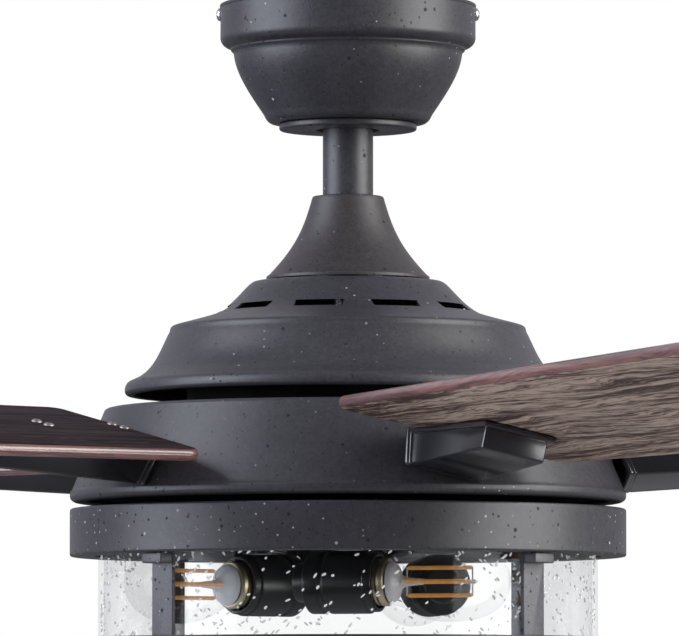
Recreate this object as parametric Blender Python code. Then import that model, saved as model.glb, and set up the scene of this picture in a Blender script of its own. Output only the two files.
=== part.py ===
"""Five-blade ceiling fan with a caged drum light, as separate parts in one frame.

Run with: blender --background --python part.py

The origin is the middle of the hanger bracket's top face, on the ceiling plane, and +Z points
up, so the whole fan hangs at negative z. Azimuth 0 is towards -Y and grows towards +X.
"""
from math import atan2, cos, degrees, hypot, pi, radians, sin, sqrt

import bmesh
import bpy
from mathutils import Matrix, Vector

MM = 0.001

# ---------------------------------------------------------------- driving dimensions, in mm
GAP = 0.3                     # left between two parts that touch
SHEET = 1.2                   # wall of the spun steel covers

# canopy and ceiling bracket
CANOPY_R = 70.0               # outer radius of the canopy's band
CANOPY_BAND = 19.7            # height of the straight band
CANOPY_DEPTH = 65.6           # ceiling to the canopy's lower face
CANOPY_HOLE_R = 30.0
TRIM_R = 37.7
TRIM_BORE_R = 17.2
TRIM_THICK = 3.6
CANOPY_SCREW_DEPTH = 5.5      # screw axis below the ceiling
BRACKET_SHEET = 2.5
BRACKET_PLATE = (104.0, 44.0)
BRACKET_EAR_X = 66.0          # outer face of the ears that hold the canopy
BRACKET_EAR = (20.0, 14.0)    # width and height of an ear
BRACKET_LEG_X = 33.0          # outer face of the two legs
BRACKET_FLOOR_Z = -52.0       # upper face of the cradle that the ball sits in
CRADLE_HOLE_R = 20.0

# hanger ball, downrod and coupling
BALL_R = 22.0
BALL_Z = -37.2
BALL_TOP_Z = -22.5
LINER_WALL = 2.0
LINER_SPAN = (-12.0, -45.0)   # elevation seen from the ball's centre, in degrees
ROD_R = 13.8
ROD_WALL = 2.5
ROD_TOP_Z = -11.0
ROD_END_Z = -144.0
BALL_PIN_R = 3.0
BALL_PIN_LENGTH = 36.0
YOKE_R = 19.0
YOKE_TOP_Z = -120.0
YOKE_FLANGE_R = 26.0
YOKE_FLANGE_THICK = 4.0
CLEVIS_Z = -134.0
CLEVIS_R = 3.2
CLEVIS_LENGTH = 47.0
COVER_TOP_Z = -105.6
COVER_BASE_Z = -151.4
COVER_BASE_R = 44.7
COVER_NECK_R = 19.3

# motor and fixed top housing
HOUSING_TOP_Z = -152.6
HOUSING_SHOULDER_R = 97.0
HOUSING_LIP_R = 122.0
HOUSING_LIP_Z = -215.0
VENT_COUNT = 10
VENT_SPAN = 22.0              # degrees of arc in one vent slot
VENT_START = 22.5             # azimuth of one slot's middle
VENT_Z = (-169.6, -166.2)
SHAFT_R = 7.5
SHAFT_BORE_R = 5.0
SHAFT_TOP_Z = -147.0
SHAFT_END_Z = -291.0
MOTOR_R = 88.0
MOTOR_TOP_Z = -181.0
MOTOR_SPLIT_Z = -207.75
MOTOR_END_Z = -239.0
MOTOR_SHEET = 2.3
BEARING_R = 17.2
BEARING_HEIGHT = 10.0
STATOR_R = 76.0
STATOR_HEIGHT = 16.0
STATOR_TEETH = 12
MOUNT_PLATE_R = 46.0
MOUNT_PLATE_THICK = 3.0
WINDING_R = (42.0, 66.0)
WINDING_HEIGHT = 9.0
BEARING_GROOVE_R = (11.0, 14.0)
SPACER_R = 16.0
MAGNET_DEPTH = 6.5
MAGNET_HEIGHT = 20.0
CARRIER_R = (52.0, 98.0)
CARRIER_THICK = 6.0

# rotor housing, arms and blades
ROTOR_TOP_Z = -222.0
ROTOR_TOP_R = 133.5
ROTOR_LIP_R = 151.8
ROTOR_LIP_Z = -268.6
ROTOR_END_Z = -273.5
ROTOR_CURL_R = 143.0          # inner edge of the curl round the rotor's foot
BOTTOM_COVER_R = (32.0, 142.4)
BOTTOM_COVER_THICK = 2.0
BLADE_COUNT = 5
BLADE_START = 21.0            # azimuth of blade 1
BLADE_PITCH = 12.0            # the trailing side hangs lower
BLADE_Z = -240.0              # middle of the blade's thickness, on its centre line
BLADE_ROOT_R = 149.0
BLADE_TIP_R = 660.0
BLADE_ROOT_WIDTH = 134.0
BLADE_TIP_WIDTH = 158.0
BLADE_THICK = 6.6
BLADE_ROOT_ROUND = 10.0
BLADE_TIP_ROUND = 30.0
ARM_END_R = 245.0
ARM_ROOT_WIDTH = 41.0
ARM_END_WIDTH = 35.0
ARM_ROOT_DROP = 18.5          # underside of the arm below its top plate, at the rotor
ARM_END_DROP = 13.0
ARM_PLATE = 3.0
ARM_BRIM = 2.5                # the plate's overhang past the box, at its end
TONGUE_START_R = 64.0
TONGUE_WIDTH = 30.0
ARM_WINDOW = (40.0, 33.0)     # depth and width of the rotor's window for a tongue
ARM_FLANGE = (45.0, 23.0, 2.4)

# light kit
PAN_R = 151.8
PAN_TOP_Z = -277.0
PAN_END_Z = -303.0
PAN_LIP_R = 138.2
PAN_NUT_R = 13.0
PAN_NUT_HEIGHT = 8.0
GLASS_R = 136.2
GLASS_WALL = 3.0
GLASS_FOOT_R = 7.0            # rounding between the glass's side and its bottom
GLASS_TOP_Z = -292.0
GLASS_END_Z = -369.0
BAR_AZIMUTHS = (45.0, 135.0, 225.0, 315.0)
BAR_WIDTH = 16.0
BAR_THICK = 2.3
BAR_FACE_R = 137.2            # inner face of a bar, from the axis
LUG = (15.0, 8.0, 5.6)        # width, reach and height of the lug on a bar
CAGE_RING_R = 142.4
CAGE_RING_WALL = 1.9
CAGE_RING_FLANGE_R = 124.0    # inner edge of the flange under the glass
CAGE_RING_Z = (-373.0, -347.0)
LAMP_AZIMUTHS = (-50.0, 70.0, 190.0)
LAMP_OFFSET = -51.0           # socket axis beside the fan's axis
LAMP_MOUTH = 36.7             # socket mouth along its own direction
LAMP_Z = -318.0
SOCKET_R = 17.0
SOCKET_LENGTH = 39.0
SOCKET_WALL = 3.0
BULB_BASE_R = 13.0
BULB_R = 21.5
BULB_REACH = 73.0             # bulb tip beyond the socket mouth

# smoothness of the turned parts
FINE, MEDIUM, COARSE = 32, 20, 12


# ---------------------------------------------------------------- materials
def material(name, colour, roughness, metallic=0.0, alpha=1.0):
    """Return a Principled material with one colour."""
    found = bpy.data.materials.get(name)
    if found:
        return found
    made = bpy.data.materials.new(name)
    made.use_nodes = True
    shader = made.node_tree.nodes["Principled BSDF"]
    shader.inputs["Base Color"].default_value = (*colour, 1.0)
    shader.inputs["Roughness"].default_value = roughness
    shader.inputs["Metallic"].default_value = metallic
    shader.inputs["Alpha"].default_value = alpha
    made.diffuse_color = (*colour, alpha)
    return made


BLACK_COAT = material("black_powder_coat", (0.055, 0.057, 0.065), 0.5, 0.3)
BROWN_COAT = material("brown_black_coat", (0.062, 0.055, 0.055), 0.5, 0.3)
ZINC = material("zinc_plate", (0.62, 0.63, 0.65), 0.35, 1.0)
CHROME = material("bright_screw", (0.8, 0.8, 0.82), 0.15, 1.0)
STEEL = material("motor_steel", (0.35, 0.36, 0.38), 0.4, 1.0)
COPPER = material("copper_wire", (0.72, 0.36, 0.16), 0.35, 1.0)
FERRITE = material("ferrite", (0.06, 0.06, 0.065), 0.7, 0.0)
WOOD = material("weathered_wood", (0.26, 0.19, 0.155), 0.6)
BLACK_PLASTIC = material("black_plastic", (0.015, 0.015, 0.016), 0.4)
GLASS = material("clear_glass", (0.9, 0.93, 0.93), 0.03, 0.0, 0.3)
GREY_PLASTIC = material("grey_plastic", (0.12, 0.12, 0.13), 0.6)


# ---------------------------------------------------------------- modelling helpers
def clear_scene():
    """Remove every object from the scene."""
    for old in list(bpy.data.objects):
        bpy.data.objects.remove(old, do_unlink=True)


def direction(azimuth):
    """Return the level unit vector at an azimuth in degrees."""
    angle = radians(azimuth)
    return Vector((sin(angle), -cos(angle), 0.0))


def turned_to(azimuth):
    """Return the rotation that takes +X to an azimuth."""
    return Matrix.Rotation(radians(azimuth - 90.0), 4, "Z")


def smooth(mesh, angle=35.0):
    """Shade a mesh smooth up to an edge angle in degrees."""
    mesh.shade_smooth()
    mesh.set_sharp_from_angle(angle=radians(angle))


def publish(name, bm, finish, place=None, parent=None, centre=None):
    """Turn a bmesh in mm into a named object in metres, with its origin at centre."""
    bmesh.ops.remove_doubles(bm, verts=bm.verts, dist=1e-4)
    if place:
        bmesh.ops.transform(bm, matrix=place, verts=bm.verts)
    origin = Vector(centre) if centre else Vector((0.0, 0.0, 0.0))
    bmesh.ops.translate(bm, vec=-origin, verts=bm.verts)
    bmesh.ops.scale(bm, vec=(MM, MM, MM), verts=bm.verts)
    bmesh.ops.recalc_face_normals(bm, faces=bm.faces)
    mesh = bpy.data.meshes.new(name)
    bm.to_mesh(mesh)
    bm.free()
    smooth(mesh)
    mesh.materials.append(finish)
    made = bpy.data.objects.new(name, mesh)
    bpy.context.scene.collection.objects.link(made)
    if parent:
        made.parent = parent
        origin = origin - Vector((0.0, 0.0, parent["height"]))
    made.location = origin * MM
    return made


def empty(name, z, parent=None):
    """Add an empty on the fan's axis at height z in mm, as a joint's place."""
    made = bpy.data.objects.new(name, None)
    bpy.context.scene.collection.objects.link(made)
    made.parent = parent
    made["height"] = z
    made.location = (0.0, 0.0, (z - (parent["height"] if parent else 0.0)) * MM)
    return made


def line(*points):
    """Return an outline of straight runs."""
    return list(points)


def curve(start, pull_a, pull_b, end, steps):
    """Return points on a cubic curve, both ends included."""
    points = []
    for i in range(steps + 1):
        t = i / steps
        weights = ((1 - t) ** 3, 3 * t * (1 - t) ** 2, 3 * t * t * (1 - t), t ** 3)
        corners = (start, pull_a, pull_b, end)
        points.append(tuple(sum(w * c[k] for w, c in zip(weights, corners)) for k in (0, 1)))
    return points


def arc(centre, radius, start, end, steps):
    """Return points on an arc, angles in degrees, both ends included."""
    angles = [radians(start + (end - start) * i / steps) for i in range(steps + 1)]
    return [(centre[0] + radius * cos(a), centre[1] + radius * sin(a)) for a in angles]


def sheet(path, wall):
    """Give an outline a wall on its right-hand side and return the closed section."""
    clean = [path[0]]
    for point in path[1:]:
        if hypot(point[0] - clean[-1][0], point[1] - clean[-1][1]) > 0.05:
            clean.append(point)
    runs = [Vector((b[0] - a[0], b[1] - a[1])).normalized() for a, b in zip(clean, clean[1:])]
    inner = []
    for i, point in enumerate(clean):
        before = runs[max(i - 1, 0)]
        after = runs[min(i, len(runs) - 1)]
        normal = Vector((before.y + after.y, -before.x - after.x)).normalized()
        reach = wall / max(normal.dot(Vector((after.y, -after.x))), 0.5)
        inner.append((point[0] + normal.x * reach, point[1] + normal.y * reach))
    return clean + inner[::-1]


def turned(section, segments):
    """Return a bmesh of a closed section of (radius, height) turned about Z."""
    bm = bmesh.new()
    rings = []
    for radius, height in section:
        if radius < 1e-6:
            rings.append([bm.verts.new((0.0, 0.0, height))] * segments)
            continue
        angles = [2 * pi * k / segments for k in range(segments)]
        rings.append([bm.verts.new((radius * cos(a), radius * sin(a), height)) for a in angles])
    count = len(rings)
    for i in range(count):
        here, there = rings[i], rings[(i + 1) % count]
        for k in range(segments):
            nxt = (k + 1) % segments
            corners = []
            for vert in (here[k], there[k], there[nxt], here[nxt]):
                if vert not in corners:
                    corners.append(vert)
            if len(corners) > 2:
                bm.faces.new(corners)
    return bm


def block(size, centre=(0.0, 0.0, 0.0), bevel=0.0):
    """Return a bmesh of a box, its edges bevelled."""
    bm = bmesh.new()
    bmesh.ops.create_cube(bm, size=1.0)
    bmesh.ops.scale(bm, vec=size, verts=bm.verts)
    if bevel:
        bmesh.ops.bevel(bm, geom=bm.edges[:], offset=bevel, segments=1, affect="EDGES")
    bmesh.ops.translate(bm, vec=centre, verts=bm.verts)
    return bm


def plate(outline, bottom, top):
    """Return a bmesh of an outline of (x, y) points extruded between two heights."""
    bm = bmesh.new()
    base = bm.faces.new([bm.verts.new((x, y, bottom)) for x, y in outline])
    grown = bmesh.ops.extrude_face_region(bm, geom=[base])
    moved = [item for item in grown["geom"] if isinstance(item, bmesh.types.BMVert)]
    bmesh.ops.translate(bm, vec=(0.0, 0.0, top - bottom), verts=moved)
    return bm


def wedge(inner, outer, middle, span, bottom, top, steps=6):
    """Return a bmesh of a sector of a ring around Z, angles as azimuths in degrees."""
    rays = [direction(middle - span / 2 + span * i / steps) for i in range(steps + 1)]
    near = [(inner * ray.x, inner * ray.y) for ray in rays]
    far = [(outer * ray.x, outer * ray.y) for ray in rays]
    return plate(near + far[::-1], bottom, top)


def rod(radius, length, segments=COARSE, place=None):
    """Return a bmesh of a cylinder along X, centred, then placed."""
    bm = bmesh.new()
    bmesh.ops.create_cone(bm, cap_ends=True, segments=segments, radius1=radius,
                          radius2=radius, depth=length,
                          matrix=Matrix.Rotation(pi / 2, 4, "Y"))
    if place:
        bmesh.ops.transform(bm, matrix=place, verts=bm.verts)
    return bm


def combine(base, others, operation):
    """Join or cut a bmesh with others by exact Booleans and return a new bmesh."""
    def as_object(bm):
        mesh = bpy.data.meshes.new("work")
        bmesh.ops.recalc_face_normals(bm, faces=bm.faces)
        bm.to_mesh(mesh)
        bm.free()
        made = bpy.data.objects.new("work", mesh)
        bpy.context.scene.collection.objects.link(made)
        return made

    body = as_object(base)
    tools = [as_object(bm) for bm in others]
    for tool in tools:
        step = body.modifiers.new("step", "BOOLEAN")
        step.operation = operation
        step.object = tool
    graph = bpy.context.evaluated_depsgraph_get()
    result = bmesh.new()
    result.from_object(body, graph)
    for made in [body] + tools:
        mesh = made.data
        bpy.data.objects.remove(made, do_unlink=True)
        bpy.data.meshes.remove(mesh)
    bmesh.ops.dissolve_limit(result, angle_limit=radians(0.05), verts=result.verts,
                             edges=result.edges)
    return result


# ---------------------------------------------------------------- ceiling mount
def hanger_bracket():
    """Stamped bracket: ceiling plate, two legs, the ball's cradle and two canopy ears."""
    sheet_half = BRACKET_SHEET / 2
    leg_height = -BRACKET_FLOOR_Z + BRACKET_SHEET
    top = block((*BRACKET_PLATE, BRACKET_SHEET), (0, 0, -sheet_half))
    joined = [block((2 * BRACKET_EAR_X, BRACKET_EAR[0], BRACKET_SHEET), (0, 0, -sheet_half))]
    for side in (-1, 1):
        joined.append(block((BRACKET_SHEET, *BRACKET_EAR),
                            (side * (BRACKET_EAR_X - sheet_half), 0, -BRACKET_EAR[1] / 2)))
        joined.append(block((BRACKET_SHEET, 36.0, leg_height),
                            (side * (BRACKET_LEG_X - sheet_half), 0, -leg_height / 2)))
    floor_z = BRACKET_FLOOR_Z - sheet_half
    joined.append(block((2 * BRACKET_LEG_X, 52.0, BRACKET_SHEET), (0, 0, floor_z)))
    body = combine(top, joined, "UNION")
    cuts = [turned([(0, floor_z - 5), (CRADLE_HOLE_R, floor_z - 5),
                    (CRADLE_HOLE_R, floor_z + 5), (0, floor_z + 5)], MEDIUM)]
    for side in (-1, 1):
        slot = plate([(side * 44.0 + x, y) for x, y in
                      line((-3.0, -12.0), (3.0, -12.0), (3.0, 12.0), (-3.0, 12.0))], -9.0, 4.0)
        cuts.append(slot)
        cuts.append(rod(2.2, 12.0, 12, Matrix.Translation(
            (side * BRACKET_EAR_X, 0, -CANOPY_SCREW_DEPTH))))
    cuts.append(block((16.0, 11.0, 10.0), (14.0, 15.0, 0)))
    publish("hanger_bracket", combine(body, cuts, "DIFFERENCE"), ZINC)


def canopy_outline():
    """Outer face of the canopy, from the ceiling down to its hole."""
    shoulder = (61.9, -31.5)
    corner = (45.6, -61.8)
    return (line((CANOPY_R, -0.4))
            + curve((CANOPY_R, -CANOPY_BAND), (69.4, -24.5), (63.4, -26.5), shoulder, 3)
            + curve(shoulder, (60.2, -41.0), (53.2, -50.5), corner, 3)[1:]
            + line((44.0, -64.6), (41.0, -CANOPY_DEPTH), (CANOPY_HOLE_R, -CANOPY_DEPTH)))


def canopy():
    """Spun cup that covers the bracket, with a hole for each screw."""
    body = turned(sheet(canopy_outline(), SHEET), FINE)
    holes = [rod(2.6, 2 * CANOPY_R + 20.0, 12, Matrix.Translation((0, 0, -CANOPY_SCREW_DEPTH)))]
    publish("canopy", combine(body, holes, "DIFFERENCE"), BLACK_COAT)


def canopy_screws():
    """Two domed screws that hold the canopy to the bracket's ears."""
    head = arc((0.0, 0.0), 3.6, 0, 90, 3)
    section = (line((0.0, -6.0), (1.9, -6.0), (1.9, 0.0)) + [(r, z * 0.55) for r, z in head])
    for side, name in ((-90.0, "canopy_screw_left"), (90.0, "canopy_screw_right")):
        out = direction(side)
        lay = Matrix.Rotation(pi / 2, 4, "Y") if out.x > 0 else Matrix.Rotation(-pi / 2, 4, "Y")
        centre = out * (CANOPY_R + GAP) + Vector((0, 0, -CANOPY_SCREW_DEPTH))
        publish(name, turned(section, 12), CHROME, Matrix.Translation(centre) @ lay,
                centre=centre)


def canopy_trim_ring():
    """Flat ring that closes the canopy's hole round the rod."""
    top = -CANOPY_DEPTH - GAP
    bottom = top - TRIM_THICK
    section = line((TRIM_BORE_R, top), (TRIM_BORE_R, bottom), (TRIM_R - 1.0, bottom),
                   (TRIM_R, bottom + 1.0), (TRIM_R, top))
    publish("canopy_trim_ring", turned(section, FINE), BLACK_COAT)


def receiver_box():
    """Control receiver that lies in the bracket above the ball."""
    publish("receiver_box", block((20.0, 40.0, 14.0), (45.0, 0, -18.0), 1.5), GREY_PLASTIC)


# ---------------------------------------------------------------- ball, rod and coupling
def hanger_ball(parent):
    """Ball on the rod's top end, which tilts in the bracket's cradle."""
    bore = ROD_R + GAP
    rise = (BALL_TOP_Z - BALL_Z) / BALL_R
    top_angle = degrees(atan2(rise, sqrt(1 - rise * rise)))
    low_angle = -degrees(atan2(sqrt(BALL_R ** 2 - bore ** 2), bore))
    round_face = arc((0.0, BALL_Z), BALL_R, top_angle, low_angle + 1.0, 6)
    section = line((bore, BALL_TOP_Z)) + round_face + line((bore, round_face[-1][1]))
    publish("hanger_ball", turned(section, MEDIUM), GREY_PLASTIC, parent=parent,
            centre=(0, 0, BALL_Z))


def ball_liner(parent):
    """Plastic ring between ball and cradle, round inside and outside."""
    inner = BALL_R + GAP
    section = (arc((0.0, BALL_Z), inner + LINER_WALL, *LINER_SPAN, 3)
               + arc((0.0, BALL_Z), inner, *LINER_SPAN[::-1], 3))
    publish("ball_liner", turned(section, MEDIUM), BLACK_PLASTIC, parent=parent,
            centre=(0, 0, BALL_Z))


def ball_cross_pin(parent):
    """Pin through the rod that rests on the ball's flat top."""
    height = BALL_TOP_Z + GAP + BALL_PIN_R
    publish("ball_cross_pin", rod(BALL_PIN_R, BALL_PIN_LENGTH, 16), ZINC,
            Matrix.Translation((0, 0, height)), parent, (0, 0, height))


def downrod(parent):
    """Steel tube with two cross holes, one at each end."""
    bore = ROD_R - ROD_WALL
    body = turned(line((bore, ROD_TOP_Z), (bore, ROD_END_Z), (ROD_R, ROD_END_Z),
                       (ROD_R, ROD_TOP_Z)), MEDIUM)
    upper = Matrix.Translation((0, 0, BALL_TOP_Z + GAP + BALL_PIN_R))
    lower = Matrix.Translation((0, 0, CLEVIS_Z))
    holes = [rod(BALL_PIN_R + 0.5, 40.0, 16, upper), rod(CLEVIS_R + 0.4, 40.0, 16, lower)]
    publish("downrod", combine(body, holes, "DIFFERENCE"), BLACK_COAT, parent=parent,
            centre=(0, 0, BALL_Z))


def yoke_coupling(parent):
    """Cast socket on the motor shaft that takes the downrod's lower end."""
    base = HOUSING_TOP_Z + GAP
    seat = ROD_END_Z - GAP
    section = line((ROD_R + GAP, YOKE_TOP_Z), (ROD_R + GAP, seat), (SHAFT_R + GAP, seat),
                   (SHAFT_R + GAP, base), (YOKE_FLANGE_R, base),
                   (YOKE_FLANGE_R, base + YOKE_FLANGE_THICK),
                   (YOKE_R, base + YOKE_FLANGE_THICK + 2.0), (YOKE_R, YOKE_TOP_Z))
    holes = [rod(CLEVIS_R + 0.4, 60.0, 16, Matrix.Translation((0, 0, CLEVIS_Z))),
             rod(2.9, 12.0, 12, Matrix.Translation((YOKE_R, 0, YOKE_TOP_Z - 5.0)))]
    publish("yoke_coupling", combine(turned(section, MEDIUM), holes, "DIFFERENCE"), STEEL,
            parent=parent)


def yoke_set_screw(parent):
    """Screw in the yoke's side that presses on the rod."""
    length = 8.0
    height = YOKE_TOP_Z - 5.0
    centre = (ROD_R + GAP + length / 2, 0, height)
    publish("yoke_set_screw", rod(2.5, length, 12), ZINC, Matrix.Translation(centre), parent,
            centre)


def clevis_pin(parent):
    """Headed pin through yoke and rod, with a clip round its far end."""
    head = rod(5.0, 2.0, 16, Matrix.Translation((-CLEVIS_LENGTH / 2, 0, 0)))
    body = combine(rod(CLEVIS_R, CLEVIS_LENGTH, 16), [head], "UNION")
    centre = Vector((0, 0, CLEVIS_Z))
    publish("clevis_pin", body, ZINC, Matrix.Translation(centre), parent, centre)
    wire = arc((CLEVIS_R + 1.3, 0.0), 0.8, 0, 300, 5)
    clip_place = Matrix.Translation(centre + Vector((21.3, 0, 0))) @ Matrix.Rotation(pi / 2, 4, "Y")
    publish("clevis_clip", turned(wire, 12), ZINC, clip_place, parent, centre)


def cover_outline():
    """Outer face of the bell-shaped coupling cover, top to bottom."""
    return (line((COVER_NECK_R - 1.6, COVER_TOP_Z), (COVER_NECK_R, COVER_TOP_Z - 0.6))
            + curve((COVER_NECK_R + 0.8, COVER_TOP_Z - 2.4), (24.6, -124.0), (28.6, -133.0),
                    (COVER_BASE_R - 1.0, COVER_BASE_Z + 2.2), 6)
            + line((COVER_BASE_R, COVER_BASE_Z + 0.9), (COVER_BASE_R, COVER_BASE_Z)))


def coupling_cover(parent):
    """Bell that hides the yoke and rests on the top housing."""
    publish("coupling_cover", turned(sheet(cover_outline(), SHEET), MEDIUM), BROWN_COAT,
            parent=parent)


# ---------------------------------------------------------------- fixed motor parts
def housing_outline():
    """Outer face of the top housing, from its centre hole to its curled lip."""
    shoulder = (94.0, -176.8)
    return (line((17.0, HOUSING_TOP_Z), (51.5, HOUSING_TOP_Z))
            + curve((54.4, -153.6), (63.0, -165.0), (72.0, -170.5), shoulder, 5)
            + line((96.2, -177.7))
            + curve((HOUSING_SHOULDER_R, -179.4), (101.5, -190.0), (106.0, -201.5),
                    (118.4, -206.8), 4)
            + line((121.2, -209.0), (HOUSING_LIP_R, -211.6), (HOUSING_LIP_R, -213.4),
                   (120.6, HOUSING_LIP_Z), (117.0, HOUSING_LIP_Z)))


def top_housing(parent):
    """Fixed stepped dome over the motor, with a ring of vent slots."""
    body = turned(sheet(housing_outline(), SHEET), FINE)
    slots = [wedge(60.0, 82.0, VENT_START + 360.0 / VENT_COUNT * i, VENT_SPAN, *VENT_Z, 2)
             for i in range(VENT_COUNT)]
    publish("top_housing", combine(body, slots, "DIFFERENCE"), BLACK_COAT, parent=parent)


def motor_mount_plate(parent):
    """Round plate under the housing's top that carries the motor shaft."""
    top = HOUSING_TOP_Z - SHEET - GAP
    section = line((SHAFT_R + GAP, top), (SHAFT_R + GAP, top - MOUNT_PLATE_THICK),
                   (MOUNT_PLATE_R, top - MOUNT_PLATE_THICK), (MOUNT_PLATE_R, top))
    publish("motor_mount_plate", turned(section, MEDIUM), STEEL, parent=parent)


def motor_shaft(parent):
    """Hollow fixed shaft through the motor, which also carries the light."""
    section = line((SHAFT_BORE_R, SHAFT_TOP_Z), (SHAFT_BORE_R, SHAFT_END_Z),
                   (SHAFT_R, SHAFT_END_Z), (SHAFT_R, SHAFT_TOP_Z))
    publish("motor_shaft", turned(section, COARSE), STEEL, parent=parent)


def stator_core(parent):
    """Laminated core with wound teeth pointing out at the magnets."""
    outline = []
    step = 360.0 / STATOR_TEETH
    for i in range(STATOR_TEETH):
        middle = i * step
        for angle, radius in ((-0.38, STATOR_R), (0.38, STATOR_R), (0.38, STATOR_R - 5.0),
                              (0.16, STATOR_R - 8.0), (0.24, 36.0), (0.5, 34.0)):
            ray = direction(middle + angle * step) * radius
            outline.append((ray.x, ray.y))
    centre_z = MOTOR_SPLIT_Z
    body = plate(outline, centre_z - STATOR_HEIGHT / 2, centre_z + STATOR_HEIGHT / 2)
    bore = turned([(0, centre_z - 20), (SHAFT_R + GAP, centre_z - 20),
                   (SHAFT_R + GAP, centre_z + 20), (0, centre_z + 20)], COARSE)
    publish("stator_core", combine(body, [bore], "DIFFERENCE"), STEEL, parent=parent)


def stator_windings(parent):
    """Copper end turns above and below the core."""
    for name, side in (("upper_winding", 1), ("lower_winding", -1)):
        near = MOTOR_SPLIT_Z + side * (STATOR_HEIGHT / 2 + GAP)
        far = near + side * WINDING_HEIGHT
        corner = far - side * 2.0
        inner, outer = WINDING_R
        section = line((inner, near), (inner, corner), (inner + 2.0, far),
                       (outer - 2.0, far), (outer, corner), (outer, near))
        publish(name, turned(section, MEDIUM), COPPER, parent=parent)


def bearings(parent):
    """Ball bearings that the motor shells turn on."""
    for name, top in (("upper_bearing", MOTOR_TOP_Z - MOTOR_SHEET - GAP),
                      ("lower_bearing", MOTOR_END_Z + MOTOR_SHEET + GAP + BEARING_HEIGHT)):
        bottom = top - BEARING_HEIGHT
        near, far = BEARING_GROOVE_R
        section = line((SHAFT_R + GAP, top), (SHAFT_R + GAP, bottom), (near, bottom),
                       (near, bottom + 1.0), (far, bottom + 1.0), (far, bottom),
                       (BEARING_R, bottom), (BEARING_R, top), (far, top), (far, top - 1.0),
                       (near, top - 1.0), (near, top))
        publish(name, turned(section, COARSE), STEEL, parent=parent)


def shaft_spacer(parent):
    """Tube that keeps the light pan below the rotor."""
    top = MOTOR_END_Z - 1.0
    bottom = PAN_TOP_Z + GAP
    section = line((SHAFT_R + GAP, top), (SHAFT_R + GAP, bottom), (SPACER_R, bottom),
                   (SPACER_R, top))
    publish("shaft_spacer", turned(section, COARSE), STEEL, parent=parent)


# ---------------------------------------------------------------- turning motor parts
def motor_shells(parent):
    """Upper and lower halves of the turning motor case, with bearing seats."""
    seat = BEARING_R + GAP
    clear = SHAFT_R + 1.5
    for name, face, side, split in (
            ("motor_upper_shell", MOTOR_TOP_Z, 1, MOTOR_SPLIT_Z + GAP),
            ("motor_lower_shell", MOTOR_END_Z, -1, MOTOR_SPLIT_Z - GAP)):
        inner = face - side * MOTOR_SHEET
        seat_end = inner - side * (BEARING_HEIGHT + 1.0)
        section = line((clear, face), (MOTOR_R - 4.0, face), (MOTOR_R, face - side * 4.0),
                       (MOTOR_R, split), (MOTOR_R - MOTOR_SHEET, split),
                       (MOTOR_R - MOTOR_SHEET, face - side * 5.0),
                       (MOTOR_R - 5.0, inner), (seat + 2.5, inner), (seat + 2.5, seat_end),
                       (seat, seat_end), (seat, inner), (clear, inner))
        publish(name, turned(section, MEDIUM), STEEL, parent=parent)


def magnet_ring(parent):
    """Ring of magnets on the inside of the motor case."""
    outer = MOTOR_R - MOTOR_SHEET - GAP
    inner = outer - MAGNET_DEPTH
    half = MAGNET_HEIGHT / 2
    section = line((inner, MOTOR_SPLIT_Z + half), (inner, MOTOR_SPLIT_Z - half),
                   (outer, MOTOR_SPLIT_Z - half), (outer, MOTOR_SPLIT_Z + half))
    publish("magnet_ring", turned(section, MEDIUM), FERRITE, parent=parent)


def arm_carrier(parent):
    """Ring under the motor that the blade arms are screwed to."""
    top = MOTOR_END_Z - GAP
    inner, outer = CARRIER_R
    section = line((inner, top), (inner, top - CARRIER_THICK), (outer, top - CARRIER_THICK),
                   (outer, top))
    publish("arm_carrier", turned(section, MEDIUM), STEEL, parent=parent)


def rotor_outline():
    """Outer face of the rotor housing, from its top hole to its curled lip."""
    return (line((MOTOR_R + 2.0, ROTOR_TOP_Z), (ROTOR_TOP_R - 5.0, ROTOR_TOP_Z),
                 (ROTOR_TOP_R - 1.6, ROTOR_TOP_Z - 1.0), (ROTOR_TOP_R + 0.4, ROTOR_TOP_Z - 3.6),
                 (ROTOR_LIP_R - 1.0, ROTOR_LIP_Z + 1.6), (ROTOR_LIP_R, ROTOR_LIP_Z),
                 (ROTOR_LIP_R, ROTOR_LIP_Z - 2.6), (ROTOR_LIP_R - 2.2, ROTOR_END_Z),
                 (ROTOR_CURL_R, ROTOR_END_Z)))


def wall_slope():
    """Angle of the rotor's side from upright, in radians."""
    return atan2(ROTOR_LIP_R - 1.4 - ROTOR_TOP_R, ROTOR_TOP_Z - 3.6 - (ROTOR_LIP_Z + 1.6))


def wall_radius(height):
    """Outer radius of the rotor's side at a height."""
    start = ROTOR_TOP_Z - 3.6
    share = (start - height) / (start - ROTOR_LIP_Z - 1.6)
    return ROTOR_TOP_R + 0.4 + share * (ROTOR_LIP_R - 1.4 - ROTOR_TOP_R)


def tongue_heights():
    """Lower and upper face of the flat tongue of an arm, inside the rotor."""
    top = MOTOR_END_Z - GAP - CARRIER_THICK - GAP
    return top - ARM_PLATE, top


def blade_azimuths():
    """Azimuth of each blade."""
    return [BLADE_START + 360.0 / BLADE_COUNT * i for i in range(BLADE_COUNT)]


def rotor_housing(parent):
    """Sloped drum that turns with the blades, with a window for each arm."""
    low, high = tongue_heights()
    body = turned(sheet(rotor_outline(), SHEET), FINE)
    windows = []
    for azimuth in blade_azimuths():
        window = block((*ARM_WINDOW, high - low + 2.0),
                       (wall_radius(high), 0, (low + high) / 2))
        bmesh.ops.transform(window, matrix=turned_to(azimuth), verts=window.verts)
        windows.append(window)
    publish("rotor_housing", combine(body, windows, "DIFFERENCE"), BLACK_COAT, parent=parent)


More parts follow.
